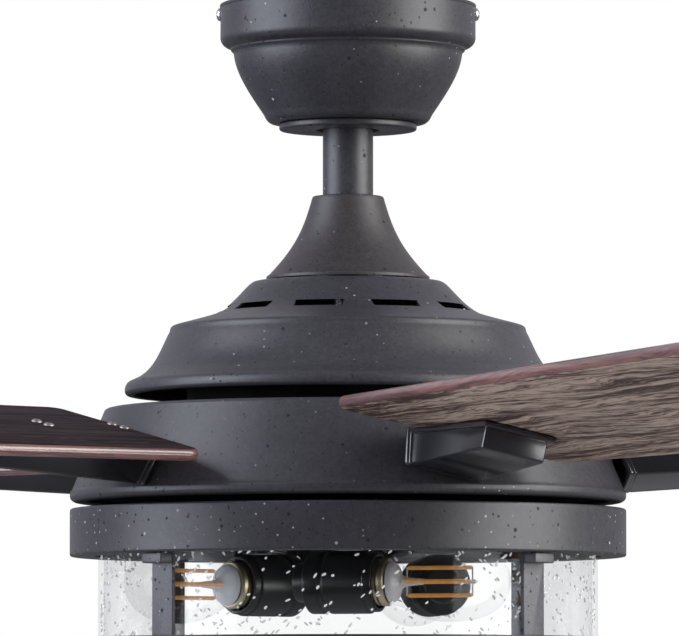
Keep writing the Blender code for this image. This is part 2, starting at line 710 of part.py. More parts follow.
def rotor_bottom_cover(parent):
    """Flat ring that closes the rotor's underside."""
    top = ROTOR_LIP_Z - 0.6
    bottom = top - BOTTOM_COVER_THICK
    inner, outer = BOTTOM_COVER_R
    section = line((inner, top), (inner, bottom), (outer, bottom), (outer, top))
    publish("rotor_bottom_cover", turned(section, FINE), BLACK_COAT, parent=parent)


def pitched():
    """Rotation of the blade frame about its own length, for the blade's pitch."""
    centre = Vector((0, 0, BLADE_Z))
    return (Matrix.Translation(centre) @ Matrix.Rotation(radians(-BLADE_PITCH), 4, "X")
            @ Matrix.Translation(-centre))


def blade_arm(name, azimuth, parent):
    """Arm: tongue in the rotor, flange on its side, tapered box and blade plate."""
    low, high = tongue_heights()
    plate_top = BLADE_Z - BLADE_THICK / 2 - GAP
    root = wall_radius(plate_top - ARM_ROOT_DROP / 2) + 3.0
    lean = ARM_ROOT_DROP * sin(wall_slope())
    box = bmesh.new()
    corners = []
    for radius, width, drop, back in ((root, ARM_ROOT_WIDTH, ARM_ROOT_DROP, lean),
                                      (ARM_END_R, ARM_END_WIDTH, ARM_END_DROP, 0.0)):
        for side, down in ((-1, 0), (1, 0), (1, 1), (-1, 1)):
            corners.append(box.verts.new((radius + down * back, side * width / 2,
                                          plate_top - ARM_PLATE / 2 - down * drop)))
    for face in ((0, 1, 2, 3), (7, 6, 5, 4), (0, 4, 5, 1), (1, 5, 6, 2), (2, 6, 7, 3),
                 (3, 7, 4, 0)):
        box.faces.new([corners[i] for i in face])
    bmesh.ops.recalc_face_normals(box, faces=box.faces)
    bmesh.ops.bevel(box, geom=box.edges[:], offset=0.8, segments=1, affect="EDGES")
    brim_end = ARM_END_R + ARM_BRIM + 1.5
    brim_side = ARM_END_WIDTH / 2 + ARM_BRIM
    seat = plate([(root, -ARM_ROOT_WIDTH / 2 - 1.0), (brim_end, -brim_side),
                  (brim_end, brim_side), (root, ARM_ROOT_WIDTH / 2 + 1.0)],
                 plate_top - ARM_PLATE, plate_top)
    flange = block((ARM_FLANGE[2], ARM_FLANGE[0], ARM_FLANGE[1]), bevel=0.5)
    flange_z = plate_top - ARM_ROOT_DROP / 2 - 0.5
    flange_r = wall_radius(flange_z) + ARM_FLANGE[2] / 2 / cos(wall_slope()) + 1.4
    bmesh.ops.transform(flange, matrix=Matrix.Translation((flange_r, 0, flange_z))
                        @ Matrix.Rotation(-wall_slope(), 4, "Y"), verts=flange.verts)
    for piece in (box, seat, flange):
        bmesh.ops.transform(piece, matrix=pitched(), verts=piece.verts)
    start, end = TONGUE_START_R, root + 0.6
    tongue = block((end - start, TONGUE_WIDTH, high - low),
                   ((start + end) / 2, 0, (low + high) / 2))
    body = combine(box, [seat, flange, tongue], "UNION")
    publish(name, body, BLACK_COAT, turned_to(azimuth), parent, (0, 0, ROTOR_TOP_Z))


def blade_outline():
    """Plan of a blade along +X: it widens to the tip and all its corners are round."""
    half_root = BLADE_ROOT_WIDTH / 2
    half_tip = BLADE_TIP_WIDTH / 2
    root, tip = BLADE_ROOT_R, BLADE_TIP_R
    small, large = BLADE_ROOT_ROUND, BLADE_TIP_ROUND
    return (arc((root + small, half_root - small), small, 180, 90, 4)
            + arc((tip - large, half_tip - large), large, 90, 0, 5)
            + arc((tip - large, -half_tip + large), large, 0, -90, 5)
            + arc((root + small, -half_root + small), small, -90, -180, 4))


def blade(name, azimuth, parent):
    """Flat wooden blade on its arm."""
    half = BLADE_THICK / 2
    bm = plate(blade_outline(), BLADE_Z - half, BLADE_Z + half)
    bmesh.ops.transform(bm, matrix=pitched(), verts=bm.verts)
    publish(name, bm, WOOD, turned_to(azimuth), parent, (0, 0, ROTOR_TOP_Z))


# ---------------------------------------------------------------- light kit
def light_pan(parent):
    """Shallow inverted pan: its side is the broad ring above the glass."""
    outline = line((SHAFT_R + GAP, PAN_TOP_Z), (PAN_R - 1.2, PAN_TOP_Z),
                   (PAN_R, PAN_TOP_Z - 1.2), (PAN_R, PAN_END_Z + 1.2),
                   (PAN_R - 1.2, PAN_END_Z), (PAN_LIP_R, PAN_END_Z))
    publish("light_pan", turned(sheet(outline, SHEET), FINE), BLACK_COAT, parent=parent)


def pan_nut(parent):
    """Hexagon nut on the shaft's end that holds the pan."""
    top = PAN_TOP_Z - SHEET - GAP
    flat = [(PAN_NUT_R * cos(pi / 3 * k), PAN_NUT_R * sin(pi / 3 * k)) for k in range(6)]
    bore = turned([(0, top - 20), (SHAFT_R + GAP, top - 20), (SHAFT_R + GAP, top + 5),
                   (0, top + 5)], COARSE)
    publish("pan_nut", combine(plate(flat, top - PAN_NUT_HEIGHT, top), [bore], "DIFFERENCE"), ZINC,
            parent=parent)


def cage_bars(parent):
    """Four flat bars outside the glass, each with a lug under the pan."""
    top = PAN_END_Z - GAP
    bottom = CAGE_RING_Z[0] + SHEET + GAP
    for number, azimuth in enumerate(BAR_AZIMUTHS, start=1):
        bar = block((BAR_THICK, BAR_WIDTH, top - bottom),
                    (BAR_FACE_R + BAR_THICK / 2, 0, (top + bottom) / 2))
        lug = block((LUG[1] + 1.0, LUG[0], LUG[2]),
                    (BAR_FACE_R + BAR_THICK + LUG[1] / 2 - 0.5, 0, top - LUG[2] / 2), 0.6)
        publish(f"cage_bar_{number}", combine(bar, [lug], "UNION"), BLACK_COAT,
                turned_to(azimuth), parent)


def cage_ring(parent):
    """Band round the foot of the glass, turned in under it."""
    low, high = CAGE_RING_Z
    inner = CAGE_RING_R - CAGE_RING_WALL
    section = line((inner, high), (inner, low + SHEET), (CAGE_RING_FLANGE_R, low + SHEET),
                   (CAGE_RING_FLANGE_R, low),
                   (CAGE_RING_R - 0.8, low), (CAGE_RING_R, low + 0.8),
                   (CAGE_RING_R, high - 0.6), (CAGE_RING_R - 0.6, high))
    publish("cage_ring", turned(section, FINE), BLACK_COAT, parent=parent)


def glass_drum(parent):
    """Straight-sided glass cup, open at the top, standing in the cage ring."""
    foot = GLASS_FOOT_R
    outline = (line((GLASS_R, GLASS_TOP_Z))
               + arc((GLASS_R - foot, GLASS_END_Z + foot), foot, 0, -90, 4)
               + line((0.0, GLASS_END_Z)))
    inner_foot = foot - GLASS_WALL
    inner = (line((0.0, GLASS_END_Z + GLASS_WALL))
             + arc((GLASS_R - foot, GLASS_END_Z + foot), inner_foot, -90, 0, 3)
             + line((GLASS_R - GLASS_WALL, GLASS_TOP_Z)))
    publish("glass_drum", turned(outline + inner, FINE), GLASS, parent=parent)


def lamp_place(azimuth):
    """Frame of one lamp: +X out of the socket's mouth, which is at the origin."""
    out = direction(azimuth)
    across = Vector((-out.y, out.x, 0.0))
    mouth = out * LAMP_MOUTH + across * LAMP_OFFSET + Vector((0, 0, LAMP_Z))
    return Matrix.Translation(mouth) @ turned_to(azimuth)


def along_x(section, segments):
    """Return a bmesh of a section of (radius, distance) turned about X."""
    bm = turned(section, segments)
    bmesh.ops.transform(bm, matrix=Matrix.Rotation(pi / 2, 4, "Y"), verts=bm.verts)
    return bm


def lamps(parent):
    """Three sockets lying round the axis, each with its bracket and bulb."""
    inner = SOCKET_R - SOCKET_WALL
    socket = line((0.0, -SOCKET_LENGTH), (SOCKET_R - 1.0, -SOCKET_LENGTH),
                  (SOCKET_R, 1.0 - SOCKET_LENGTH), (SOCKET_R, -1.0), (SOCKET_R - 1.0, 0.0),
                  (inner, 0.0), (inner, 4.0 - SOCKET_LENGTH), (0.0, 4.0 - SOCKET_LENGTH))
    base = BULB_BASE_R
    bulb = (line((0.0, -26.0), (5.0, -26.0), (base - 3.5, -23.5), (base, -22.0), (base, 6.0))
            + curve((base + 0.2, 8.0), (base + 1.0, 18.0), (BULB_R, 22.0),
                    (BULB_R, BULB_REACH - 30.0), 3)
            + curve((BULB_R, BULB_REACH - 24.0), (BULB_R, BULB_REACH - 10.0),
                    (12.0, BULB_REACH), (0.0, BULB_REACH), 4))
    hang = LAMP_Z + SOCKET_R + GAP
    pan_inside = PAN_TOP_Z - SHEET - GAP
    for number, azimuth in enumerate(LAMP_AZIMUTHS, start=1):
        place = lamp_place(azimuth)
        centre = place.translation
        publish(f"lamp_socket_{number}", along_x(socket, COARSE), BLACK_PLASTIC, place, parent,
                centre)
        publish(f"bulb_{number}", along_x(bulb, COARSE), GLASS, place, parent, centre)
        foot = block((14.0, 22.0, 1.6), (-SOCKET_LENGTH / 2, 0, hang - LAMP_Z + 0.8))
        web = block((14.0, 1.6, pan_inside - hang),
                    (-SOCKET_LENGTH / 2, 10.2, (pan_inside + hang) / 2 - LAMP_Z))
        publish(f"socket_bracket_{number}", combine(foot, [web], "UNION"), ZINC, place, parent,
                centre)


# ---------------------------------------------------------------- assembly
def main():
    """Build every part and hang the moving ones from empties on their joints."""
    clear_scene()
    ball_joint = empty("ball_joint", BALL_Z)
    spin_joint = empty("spin_joint", ROTOR_TOP_Z, ball_joint)
    hanger_bracket()
    canopy()
    canopy_screws()
    canopy_trim_ring()
    receiver_box()
    for build in (ball_liner, hanger_ball, ball_cross_pin, downrod, yoke_coupling, yoke_set_screw,
                  clevis_pin, coupling_cover, top_housing, motor_mount_plate, motor_shaft,
                  stator_core, stator_windings, bearings, shaft_spacer, light_pan, pan_nut,
                  cage_bars, cage_ring, glass_drum, lamps):
        build(ball_joint)
    for build in (motor_shells, magnet_ring, arm_carrier, rotor_housing, rotor_bottom_cover):
        build(spin_joint)
    for number, azimuth in enumerate(blade_azimuths(), start=1):
        blade_arm(f"blade_arm_{number}", azimuth, spin_joint)
        blade(f"blade_{number}", azimuth, spin_joint)


main()
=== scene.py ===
"""Detailed visual model of a five-blade ceiling fan with a caged drum light.

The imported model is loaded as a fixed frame, and the pieces built here stand for its nodes.
Outlines are in millimetres until a mesh is written, and then everything is in metres. The
origin is on the ceiling, +Z is up, and azimuth 0 is towards -Y and grows towards +X.
"""
from __future__ import annotations

import logging  # noqa: E402
from collections.abc import Iterable, Sequence  # noqa: E402
from dataclasses import dataclass, field  # noqa: E402
from enum import Enum  # noqa: E402
from math import atan2, cos, pi, radians, sin  # noqa: E402
from typing import Any  # noqa: E402

import bmesh  # noqa: E402
import bpy  # noqa: E402
from mathutils import Matrix, Vector  # noqa: E402


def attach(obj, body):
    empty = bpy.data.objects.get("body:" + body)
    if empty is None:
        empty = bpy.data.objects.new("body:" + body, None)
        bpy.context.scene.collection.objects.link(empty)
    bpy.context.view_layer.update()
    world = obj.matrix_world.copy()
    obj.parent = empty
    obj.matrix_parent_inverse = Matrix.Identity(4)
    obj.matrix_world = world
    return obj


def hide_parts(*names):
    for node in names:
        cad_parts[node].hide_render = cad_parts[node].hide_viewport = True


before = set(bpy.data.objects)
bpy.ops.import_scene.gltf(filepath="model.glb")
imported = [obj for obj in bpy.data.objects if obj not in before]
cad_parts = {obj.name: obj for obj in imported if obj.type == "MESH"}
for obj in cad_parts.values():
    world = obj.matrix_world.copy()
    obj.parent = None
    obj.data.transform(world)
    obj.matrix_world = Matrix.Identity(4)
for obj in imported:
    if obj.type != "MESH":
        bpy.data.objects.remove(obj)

LOG = logging.getLogger("ceiling_fan")
MM = 0.001
MERGE_DISTANCE = 1e-6      # metres, for doubles in a finished mesh
COLLAPSE_DISTANCE = 1e-7   # metres, for faces without area
NEARLY_ZERO = 1e-6         # mm, for heights and radii while a shape is drawn

Colour = tuple[float, float, float]
Point = tuple[float, float]
Corner = tuple[float, float, float]


class Body(Enum):
    """Bodies of the fan that pieces ride on."""

    CEILING_MOUNT = "ceiling_mount"
    FAN = "fan"
    COVER = "cover"
    ROTOR = "rotor"


class Slot(Enum):
    """Material slots of the record; pieces name one, but take their finish from the palette."""

    BLACK_COAT = "black_coat"
    BROWN_COAT = "brown_coat"
    SCREW = "bright_screw"
    STEEL = "motor_steel"
    WOOD = "weathered_wood"
    PLASTIC = "black_plastic"
    GLASS = "seeded_glass"
    BULB = "bulb_glass"


# ------------------------------------------------------------------ node trees
class NodeBook:
    """A node tree that nodes are added to by one method."""

    def __init__(self, tree: bpy.types.NodeTree) -> None:
        """Wrap a tree.

        Args:
            tree: The tree that takes the nodes.
        """
        self.tree = tree

    def node(self, kind: str, settings: dict[str, Any] | None = None,
             sockets: dict[str | int, Any] | None = None) -> bpy.types.Node:
        """Add a node, set its options and then its sockets.

        Args:
            kind: The node's type name.
            settings: Options by name; "stops" holds a ramp's (place, colour) pairs.
            sockets: Values or links by socket name or number.

        Returns:
            The new node.
        """
        made = self.tree.nodes.new(kind)
        for name, choice in (settings or {}).items():
            if name == "stops":
                self._set_stops(made.color_ramp, choice)
            else:
                setattr(made, name, choice)
        for name, given in (sockets or {}).items():
            source = given.socket if isinstance(given, Value) else given
            if isinstance(source, bpy.types.NodeSocket):
                self.tree.links.new(source, made.inputs[name])
            else:
                made.inputs[name].default_value = source
        return made

    @staticmethod
    def _set_stops(ramp: bpy.types.ColorRamp, stops: Sequence[tuple[float, Colour]]) -> None:
        """Give a colour ramp its stops."""
        while len(ramp.elements) < len(stops):
            ramp.elements.new(0.5)
        for element, (place, colour) in zip(ramp.elements, stops):
            element.position = place
            element.color = (*colour, 1.0)


class Value:
    """A number that varies over a surface: a socket that Python can reckon with."""

    def __init__(self, book: NodeBook, socket: bpy.types.NodeSocket) -> None:
        """Wrap a socket of a book's tree."""
        self.book = book
        self.socket = socket

    def _math(self, operation: str, first: Any, second: Any = 0.0) -> Value:
        """Add a Math node and return its result."""
        made = self.book.node("ShaderNodeMath", {"operation": operation}, {0: first, 1: second})
        return Value(self.book, made.outputs[0])

    def __add__(self, other: Any) -> Value:
        """Return self + other."""
        return self._math("ADD", self, other)

    def __radd__(self, other: Any) -> Value:
        """Return other + self."""
        return self._math("ADD", other, self)

    def __sub__(self, other: Any) -> Value:
        """Return self - other."""
        return self._math("SUBTRACT", self, other)

    def __rsub__(self, other: Any) -> Value:
        """Return other - self."""
        return self._math("SUBTRACT", other, self)

    def __mul__(self, other: Any) -> Value:
        """Return self * other."""
        return self._math("MULTIPLY", self, other)

    def __rmul__(self, other: Any) -> Value:
        """Return other * self."""
        return self._math("MULTIPLY", other, self)

    def __pow__(self, other: Any) -> Value:
        """Return self ** other."""
        return self._math("POWER", self, other)

    def __lt__(self, other: Any) -> Value:
        """Return 1 where self is below other."""
        return self._math("LESS_THAN", self, other)

    def sine(self) -> Value:
        """Return the sine of self."""
        return self._math("SINE", self)

    def between(self, low: float, high: float) -> Value:
        """Return a smooth step from 0 at low to 1 at high.

        Args:
            low: Where the step starts.
            high: Where the step ends.
        """
        made = self.book.node("ShaderNodeMapRange", {"interpolation_type": "SMOOTHSTEP"},
                              {"Value": self, "From Min": low, "From Max": high})
        return Value(self.book, made.outputs[0])


class ShaderTree(NodeBook):
    """The node tree of one new material."""

    def __init__(self, name: str) -> None:
        """Start a material with an empty tree.

        Args:
            name: The material's name.
        """
        self.material = bpy.data.materials.new(name)
        self.material.use_nodes = True
        super().__init__(self.material.node_tree)
        self.tree.nodes.clear()
        self.output = self.node("ShaderNodeOutputMaterial")
        self.places = self.node("ShaderNodeTexCoord")

    @property
    def on_object(self) -> bpy.types.NodeSocket:
        """Coordinates in metres, fixed to the piece."""
        return self.places.outputs["Object"]

    @property
    def on_surface(self) -> bpy.types.NodeSocket:
        """Coordinates of the piece's own map, in metres."""
        return self.places.outputs["UV"]

    def mapped(self, vector: bpy.types.NodeSocket, scale: Sequence[float],
               shift: Sequence[float] = (0.0, 0.0, 0.0)) -> bpy.types.NodeSocket:
        """Return coordinates stretched by scale and moved by shift."""
        made = self.node("ShaderNodeMapping", None,
                         {"Vector": vector, "Scale": scale, "Location": shift})
        return made.outputs[0]

    def noise(self, vector: bpy.types.NodeSocket, scale: float, detail: float = 3.0,
              roughness: float = 0.5, distortion: float = 0.0) -> Value:
        """Return smooth noise from 0 to 1.

        Args:
            vector: Coordinates to read.
            scale: Waves in a unit of the coordinates.
            detail: Octaves of finer noise.
            roughness: Strength of the finer octaves.
            distortion: How far the pattern is pulled about.
        """
        made = self.node("ShaderNodeTexNoise", None,
                         {"Vector": vector, "Scale": scale, "Detail": detail,
                          "Roughness": roughness, "Distortion": distortion})
        return Value(self, made.outputs[0])

    def dots(self, cell: float, radius: float, share: float, shift: float) -> Value:
        """Return scattered dots, 1 inside a dot.

        Args:
            cell: Mean distance between places for a dot, in metres.
            radius: Largest radius of a dot, in metres.
            share: Share of the places that have a dot.
            shift: Moves the pattern, so that two sets differ.
        """
        where = self.mapped(self.on_object, (1.0, 1.0, 1.0), (shift, shift * 0.7, -shift))
        cells = self.node("ShaderNodeTexVoronoi", None, {"Vector": where, "Scale": 1.0 / cell})
        split = self.node("ShaderNodeSeparateColor", None, {"Color": cells.outputs["Color"]})
        reach = radius / cell
        distance = Value(self, cells.outputs["Distance"])
        inside = 1.0 - distance.between(reach * 0.55, reach)
        return inside * (Value(self, split.outputs[0]) < share)

    def mix(self, factor: Any, first: Any, second: Any) -> bpy.types.NodeSocket:
        """Return the colour between first, at factor 0, and second, at 1."""
        colours = [(*item, 1.0) if isinstance(item, tuple) else item for item in (first, second)]
        made = self.node("ShaderNodeMix", {"data_type": "RGBA"},
                         {0: factor, 6: colours[0], 7: colours[1]})
        return made.outputs[2]

    def ramp(self, factor: Value, stops: Sequence[tuple[float, Colour]]) -> bpy.types.NodeSocket:
        """Return the colour of a ramp at factor."""
        made = self.node("ShaderNodeValToRGB", {"stops": stops}, {"Fac": factor})
        return made.outputs[0]

    def bump(self, height: Value, depth: float, strength: float = 1.0) -> bpy.types.NodeSocket:
        """Return a normal tilted by a height.

        Args:
            height: Height from 0 to 1.
            depth: The height's full depth, in metres.
            strength: Share of the tilt that is used.
        """
        made = self.node("ShaderNodeBump", None,
                         {"Height": height, "Distance": depth, "Strength": strength})
        return made.outputs[0]

    def principled(self, sockets: dict[str | int, Any]) -> bpy.types.NodeSocket:
        """Return a Principled shader with these sockets."""
        ready = {name: (*given, 1.0) if isinstance(given, tuple) and len(given) == 3 else given
                 for name, given in sockets.items()}
        return self.node("ShaderNodeBsdfPrincipled", None, ready).outputs[0]

    def close(self, shader: bpy.types.NodeSocket) -> bpy.types.Material:
        """Send a shader to the output and return the material."""
        self.tree.links.new(shader, self.output.inputs["Surface"])
        return self.material


class InputKind(Enum):
    """Kinds of named input of a geometry tree."""

    NUMBER = "NodeSocketFloat"
    COUNT = "NodeSocketInt"
    VECTOR = "NodeSocketVector"
    MATERIAL = "NodeSocketMaterial"


class GeometryTree(NodeBook):
    """A Geometry Nodes tree with named inputs, used on a carrier object."""

    def __init__(self, name: str) -> None:
        """Start a tree whose first input and output are geometry."""
        super().__init__(bpy.data.node_groups.new(name, "GeometryNodeTree"))
        self.identifiers: dict[str, str] = {}
        for way in ("INPUT", "OUTPUT"):
            self.tree.interface.new_socket("Geometry", in_out=way,
                                           socket_type="NodeSocketGeometry")
        self.entry = self.node("NodeGroupInput")

    def given(self, name: str, kind: InputKind) -> bpy.types.NodeSocket:
        """Add a named input and return its socket inside the tree."""
        socket = self.tree.interface.new_socket(name, in_out="INPUT", socket_type=kind.value)
        self.identifiers[name] = socket.identifier
        return self.entry.outputs[name]

    def close(self, geometry: bpy.types.NodeSocket) -> None:
        """End the tree in Realize Instances and Set Material."""
        real = self.node("GeometryNodeRealizeInstances", None, {"Geometry": geometry})
        dressed = self.node("GeometryNodeSetMaterial", None,
                            {"Geometry": real.outputs[0],
                             "Material": self.given("Finish", InputKind.MATERIAL)})
        self.node("NodeGroupOutput", None, {"Geometry": dressed.outputs[0]})

    def build(self, name: str, carrier: bpy.types.Mesh, values: dict[str, Any]) -> bpy.types.Object:
        """Evaluate the tree on a mesh and return the result as a plain object.

        Args:
            name: The new object's name.
            carrier: The mesh that the tree starts from.
            values: Values of the named inputs.
        """
        piece = bpy.data.objects.new(name, carrier)
        bpy.context.scene.collection.objects.link(piece)
        modifier = piece.modifiers.new("build", "NODES")
        modifier.node_group = self.tree
        for title, value in values.items():
            modifier[self.identifiers[title]] = value
        graph = bpy.context.evaluated_depsgraph_get()
        result = bpy.data.meshes.new_from_object(piece.evaluated_get(graph))
        piece.modifiers.remove(modifier)
        piece.data = result
        result.name = name
        bpy.data.meshes.remove(carrier)
        return piece


# ------------------------------------------------------------------ finishes
@dataclass(frozen=True)
class Finish:
    """A finish, made into a material once and then shared."""

    name: str

    def material(self) -> bpy.types.Material:
        """Return the finish's material."""
        found = bpy.data.materials.get(self.name)
        return found if found else self.dress(ShaderTree(self.name))

    def dress(self, tree: ShaderTree) -> bpy.types.Material:
        """Build the finish's nodes in a tree and return its material."""
        raise NotImplementedError


@dataclass(frozen=True)
class PowderCoat(Finish):
    """Satin powder coat with a fine grain and scattered pale and dark flecks."""

    colour: Colour = (0.040, 0.039, 0.046)
    roughness: float = 0.43
    pale_share: float = 0.12
    dark_share: float = 0.5
    relief: float = 0.0002
    specular: float = 0.6
    fleck: Colour = (0.55, 0.55, 0.6)

    def dress(self, tree: ShaderTree) -> bpy.types.Material:
        """Build the coat: mottled colour, flecks, grain and uneven gloss."""
        patches = tree.noise(tree.on_object, 14.0, 3.0)
        grain = tree.noise(tree.on_object, 620.0, 3.0, 0.65)
        peel = tree.noise(tree.on_object, 210.0, 2.0, 0.5)
        crowd = tree.noise(tree.on_object, 11.0, 1.0).between(0.40, 0.62)
        pale = (tree.dots(0.0040, 0.00066, self.pale_share, 0.013) * (0.2 + 0.8 * crowd)
                + tree.dots(0.0085, 0.00105, self.pale_share, 0.271) * crowd)
        dark = (tree.dots(0.0042, 0.00088, self.dark_share, 0.131) * (0.5 + 0.5 * crowd)
                + tree.dots(0.011, 0.0014, self.dark_share, 0.377))
        shade = (patches - 0.5) * 0.6 + (grain - 0.5) * 1.5 + (peel - 0.5) * 0.6 + 0.5
        base = tree.mix(shade, tuple(0.6 * c for c in self.colour),
                        tuple(1.42 * c for c in self.colour))
        flecked = tree.mix(pale * 0.85, base, self.fleck)
        spotted = tree.mix(dark * 0.92, flecked, (0.003, 0.003, 0.004))
        height = grain * 0.45 + peel * 0.55 + pale * 0.5 - dark * 0.8
        gloss = self.roughness + (patches - 0.5) * 0.12 + (grain - 0.5) * 0.2
        return tree.close(tree.principled({
            "Base Color": spotted, "Roughness": gloss + dark * 0.3,
            "Specular IOR Level": self.specular,
            "Normal": tree.bump(height, self.relief, 0.5)}))


@dataclass(frozen=True)
class GlossPaint(Finish):
    """Smooth black paint on the castings, with soft flow marks."""

    colour: Colour = (0.013, 0.013, 0.017)
    roughness: float = 0.24
    coat: float = 0.45
    coat_roughness: float = 0.14
    coat_index: float = 1.75

    def dress(self, tree: ShaderTree) -> bpy.types.Material:
        """Build the paint: faint colour clouds, wiped gloss and a slow ripple."""
        clouds = tree.noise(tree.on_object, 38.0, 3.0)
        flow_marks = tree.noise(tree.on_object, 120.0, 2.0, 0.4)
        base = tree.mix(clouds, tuple(0.7 * c for c in self.colour),
                        tuple(1.3 * c for c in self.colour))
        gloss = self.roughness + (clouds - 0.5) * 0.14
        return tree.close(tree.principled({
            "Base Color": base, "Roughness": gloss, "Specular IOR Level": 0.5,
            "Coat Weight": self.coat, "Coat Roughness": self.coat_roughness,
            "Coat IOR": self.coat_index,
            "Normal": tree.bump(flow_marks, 0.0002, 0.3)}))


@dataclass(frozen=True)
class PlatedMetal(Finish):
    """Bare or plated metal with fine drawing lines and dull patches."""

    colour: Colour = (0.62, 0.62, 0.64)
    roughness: float = 0.3
    stretch: tuple[float, float, float] = (1.0, 1.0, 18.0)

    def dress(self, tree: ShaderTree) -> bpy.types.Material:
        """Build the metal: stretched scratches over clouded plating."""
        clouds = tree.noise(tree.on_object, 60.0, 4.0)
        lines = tree.noise(tree.mapped(tree.on_object, self.stretch), 160.0, 3.0, 0.6)
        base = tree.mix(clouds, tuple(0.72 * c for c in self.colour), self.colour)
        gloss = self.roughness + (clouds - 0.5) * 0.2 + (lines - 0.5) * 0.15
        return tree.close(tree.principled({
            "Base Color": base, "Metallic": 1.0, "Roughness": gloss,
            "Normal": tree.bump(lines, 0.00003, 0.4)}))


@dataclass(frozen=True)
class WoundCopper(Finish):
    """Enamelled copper wire wound side by side round the stator."""

    colour: Colour = (0.68, 0.31, 0.12)
    turns: int = 220

    def dress(self, tree: ShaderTree) -> bpy.types.Material:
        """Build the windings: one ridge a wire, round the fan's axis, painted darker in the grooves
        between wires where shade falls, with stains.
        """
        sweep = tree.node("ShaderNodeTexGradient", {"gradient_type": "RADIAL"},
                          {"Vector": tree.on_object})
        ridge = (Value(tree, sweep.outputs[1]) * (2 * pi * self.turns)).sine() * 0.5 + 0.5
        stain = tree.noise(tree.on_object, 90.0, 3.0)
        # painted shade in the grooves between wires (ridge), mixed with real stains (stain)
        base = tree.mix(ridge * 0.6 + stain * 0.4, tuple(0.4 * c for c in self.colour),
                        self.colour)
        return tree.close(tree.principled({
            "Base Color": base, "Metallic": 0.85, "Roughness": 0.5 - ridge * 0.2,
            "Normal": tree.bump(ridge, 0.0004, 0.7)}))


@dataclass(frozen=True)
class MouldedPlastic(Finish):
    """Moulded plastic or pressed ferrite with a fine eggshell texture."""

    colour: Colour = (0.012, 0.012, 0.013)
    roughness: float = 0.35
    grain: float = 900.0

    def dress(self, tree: ShaderTree) -> bpy.types.Material:
        """Build the plastic: eggshell bump and cloudy gloss."""
        shell = tree.noise(tree.on_object, self.grain, 2.0)
        clouds = tree.noise(tree.on_object, 45.0, 3.0)
        base = tree.mix(clouds, tuple(0.75 * c for c in self.colour),
                        tuple(1.4 * c for c in self.colour))
        return tree.close(tree.principled({
            "Base Color": base, "Roughness": self.roughness + (clouds - 0.5) * 0.15,
            "Normal": tree.bump(shell, 0.00005, 0.4)}))


@dataclass(frozen=True)
class GrainedBoard(Finish):
    """Face of a wooden blade: long weathered grain with dark streaks and open pores."""

    pale: Colour = (0.66, 0.51, 0.41)
    middle: Colour = (0.34, 0.235, 0.18)
    dark: Colour = (0.080, 0.046, 0.037)
    pore: Colour = (0.035, 0.022, 0.018)
    roughness: float = 0.62
    specular: float = 0.3
    lacquer: float = 0.0
    lacquer_roughness: float = 0.24
    lacquer_index: float = 2.0
    relief: float = 0.0005

    def dress(self, tree: ShaderTree) -> bpy.types.Material:
        """Build the board along its own map: u runs along the blade and v across."""
        sway = tree.noise(tree.mapped(tree.on_surface, (6.0, 26.0, 1.0)), 1.0, 3.0)
        bend = tree.node("ShaderNodeCombineXYZ", None, {1: (sway - 0.5) * 0.034})
        swayed = tree.node("ShaderNodeVectorMath", {"operation": "ADD"},
                           {0: tree.on_surface, 1: bend.outputs[0]}).outputs[0]
        broad = tree.noise(tree.mapped(swayed, (5.0, 100.0, 1.0)), 1.0, 5.0, 0.64, 0.7)
        streak = tree.noise(tree.mapped(swayed, (10.0, 330.0, 1.0), (3.0, 1.0, 0.0)), 1.0, 4.0,
                            0.62, 0.4)
        fibre = tree.noise(tree.mapped(swayed, (48.0, 1000.0, 1.0)), 1.0, 3.0, 0.62)
        dash = tree.noise(tree.mapped(swayed, (60.0, 520.0, 1.0), (0.0, 5.0, 0.0)), 1.0, 2.0)
        pores = dash.between(0.58, 0.66)
        cracks = streak.between(0.55, 0.63)
        tone = (broad - 0.5) * 2.3 + (streak - 0.5) * -1.2 + (fibre - 0.5) * 1.6 + 0.53
        base = tree.ramp(tone, ((0.26, self.dark), (0.47, self.middle), (0.74, self.pale)))
        streaked = tree.mix(cracks * 0.6, base, self.dark)
        open_pores = tree.mix(pores * 0.5, streaked, self.pore)
        height = broad * 0.3 + fibre * 0.4 - pores * 0.6 - cracks * 0.8
        return tree.close(tree.principled({
            "Base Color": open_pores, "Roughness": self.roughness + (fibre - 0.5) * 0.2,
            "Specular IOR Level": self.specular, "Coat Weight": self.lacquer,
            "Coat Roughness": self.lacquer_roughness, "Coat IOR": self.lacquer_index,
            "Normal": tree.bump(height, self.relief, 0.6)}))


